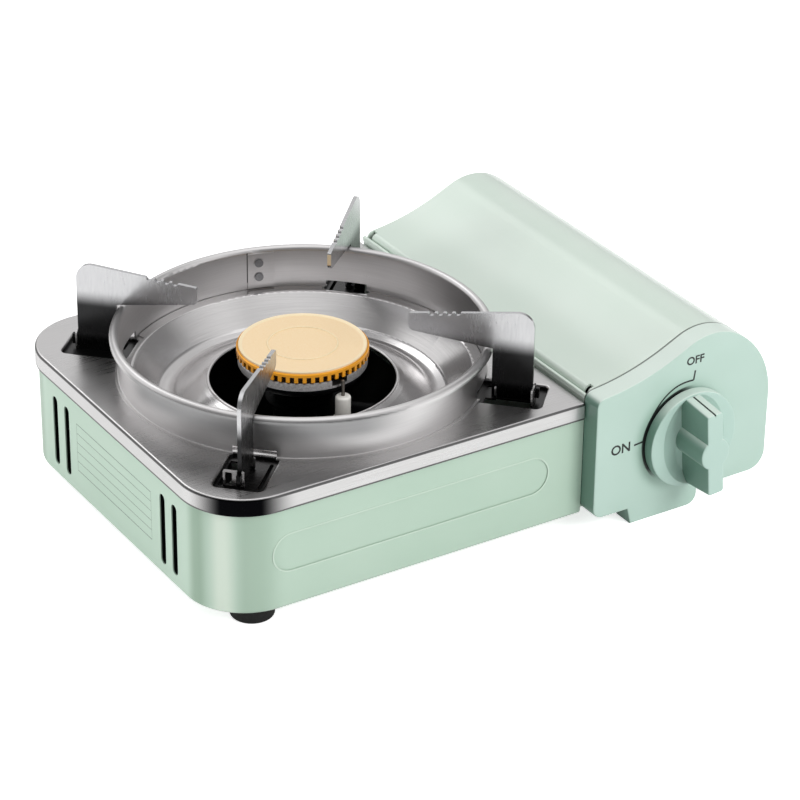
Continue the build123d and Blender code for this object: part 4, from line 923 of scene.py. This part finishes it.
# a dark strip of ink that paints the shadow of the lap's step
lap = ribbon(
    "windshield_lap_shadow_line", on_lap, [(0.0, LAP_FOOT), (0.0, LAP_TOP)], 0.6, INK_THICK, ink
)
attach(lap, "root")
print("wall lines:", len(lines), "and the lap's line")

# %% [markdown]
# ## Pointer of the knob
# The grip bar has a groove at its upper end that is filled with ink. The bar narrows toward
# the front by the mould's draft, and it stands a few degrees off upright, so the inlay's
# rings follow both.

# %% Pointer inlay of the knob
TURN = math.radians(4.5)
DRAFT = math.tan(math.radians(6.0))
BAR_END, BAR_FOOT = 25.2, 2.8  # the bar's reach from the knob's axis, at this depth
INLAY_HALF = 0.47
INLAY_LOW, INLAY_HIGH = 0.98, 0.12  # below the bar's end


def on_knob(side, up, depth):
    """Point of the knob: side and up across its face, depth toward the front from the panel."""
    x = KNOB_AT[0] + side * math.cos(TURN) - up * math.sin(TURN)
    z = KNOB_AT[1] + side * math.sin(TURN) + up * math.cos(TURN)
    return place(x, PANEL_FRONT - depth, z)


rings = []
for depth in (6.5, 12.0, 18.0, 24.0):
    end = BAR_END - (depth - BAR_FOOT) * DRAFT
    low, high = end - INLAY_LOW, end - INLAY_HIGH
    corners = ((-INLAY_HALF, low), (-INLAY_HALF, high), (INLAY_HALF, high), (INLAY_HALF, low))
    rings.append([on_knob(side, up, depth) for side, up in corners])
inlay = strip_piece("pointer_inlay", rings, ink)
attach(inlay, "knob")
print("pointer inlay", len(inlay.data.vertices), "points")

# %% [markdown]
# ## Studio
# The floor is a wide pale sheet. It is lit like the stove, and a little light of its own
# takes it up to white for the camera. Reflections see about a third of that, so the steel
# shows a pale floor too, and the stove keeps its shadow.

# %% Floor
HALF_FLOOR = 12.0
FLOOR_LIFT = 0.7
MIRRORED_SHARE = 0.35

floor_mesh = bpy.data.meshes.new("floor")
corners = ((-1, -1), (1, -1), (1, 1), (-1, 1))
floor_mesh.from_pydata(
    [(x * HALF_FLOOR, y * HALF_FLOOR, 0.0) for x, y in corners], [], [(0, 1, 2, 3)]
)
floor = bpy.data.objects.new("floor", floor_mesh)
bpy.context.scene.collection.objects.link(floor)
floor_paper = bpy.data.materials.new("white studio paper")
floor_paper.use_nodes = True
tree = floor_paper.node_tree
tree.nodes.clear()
paper = add(tree, "BsdfDiffuse", {"Color": linear("#F4F4F4")})
seen = add(tree, "LightPath").outputs
mirrored = combine(tree, "MAXIMUM", seen["Is Glossy Ray"], seen["Is Transmission Ray"])
dimmed = scaled_by(tree, mirrored, MIRRORED_SHARE)
lift = scaled_by(tree, combine(tree, "MAXIMUM", seen["Is Camera Ray"], dimmed), FLOOR_LIFT)
glow = add(tree, "Emission", {}, {"Strength": lift})
total = add(tree, "AddShader", {}, {0: paper.outputs[0], 1: glow.outputs[0]})
add(tree, "OutputMaterial", {}, {0: total.outputs[0]})
floor_mesh.materials.append(floor_paper)
print("floor", 2 * HALF_FLOOR, "m wide")

# %% [markdown]
# The world is a dim room with five soft round panels of light, which steel and enamel mirror
# as broad soft bands: one behind on each side, a narrow bright one high behind that draws the
# highlight along the cover, one at the front right and a wide one overhead. The two lamps
# only light the stove and are never mirrored: a large key lamp at the front right, and a
# weaker one at the left that reaches the left wall.

# %% World and lamps
ROOM = 0.24
PANELS = (  # toward, angle where it is full, angle where it ends, strength
    ((0.47, 0.74, 0.48), 8.0, 36.0, 0.54),
    ((0.0, 0.74, 0.67), 4.0, 15.0, 1.9),
    ((-0.50, 0.72, 0.46), 10.0, 34.0, 0.75),
    ((0.62, -0.70, 0.35), 14.0, 40.0, 0.75),
    ((0.05, 0.0, 1.0), 16.0, 46.0, 0.95),
)

world = bpy.data.worlds.new("studio")
bpy.context.scene.world = world
world.use_nodes = True
tree = world.node_tree
tree.nodes.clear()
direction = add(tree, "TexCoord").outputs["Generated"]


def soft_panel(tree, direction, toward, full, end, strength):
    """Brightness of a soft round panel of the room, seen in a direction."""
    aim = tuple(Vector(toward).normalized())
    facing = add(tree, "VectorMath", {1: aim}, {0: direction}, operation="DOT_PRODUCT")
    edge, core = math.cos(math.radians(end)), math.cos(math.radians(full))
    return soft_step(tree, facing.outputs["Value"], edge, core, strength)


room = add(tree, "Value").outputs[0]
room.default_value = ROOM
panels = [soft_panel(tree, direction, *panel) for panel in PANELS]
brightness = combine(tree, "ADD", room, *panels)
sky = add(tree, "Background", {"Color": linear("#FFFFFF")}, {"Strength": brightness})
add(tree, "OutputWorld", {}, {0: sky.outputs[0]})


def soft_lamp(name, at, toward, width, height, power):
    """A rectangular soft lamp at a point, turned toward another, all in metres."""
    data = bpy.data.lights.new(name, "AREA")
    data.shape = "RECTANGLE"
    data.size = width
    data.size_y = height
    data.energy = power
    lamp = bpy.data.objects.new(name, data)
    bpy.context.scene.collection.objects.link(lamp)
    lamp.location = at
    lamp.rotation_euler = (Vector(toward) - Vector(at)).to_track_quat("-Z", "Y").to_euler()
    lamp.visible_glossy = False
    return lamp


soft_lamp("key", (0.7, -1.7, 1.2), (-0.02, 0, 0.05), 1.0, 0.8, 19.0)
soft_lamp("left", (-1.5, 0.45, 0.4), (-0.1, 0, 0.04), 0.8, 0.5, 8.0)
bpy.context.scene.view_settings.view_transform = "Standard"
print("studio ready")
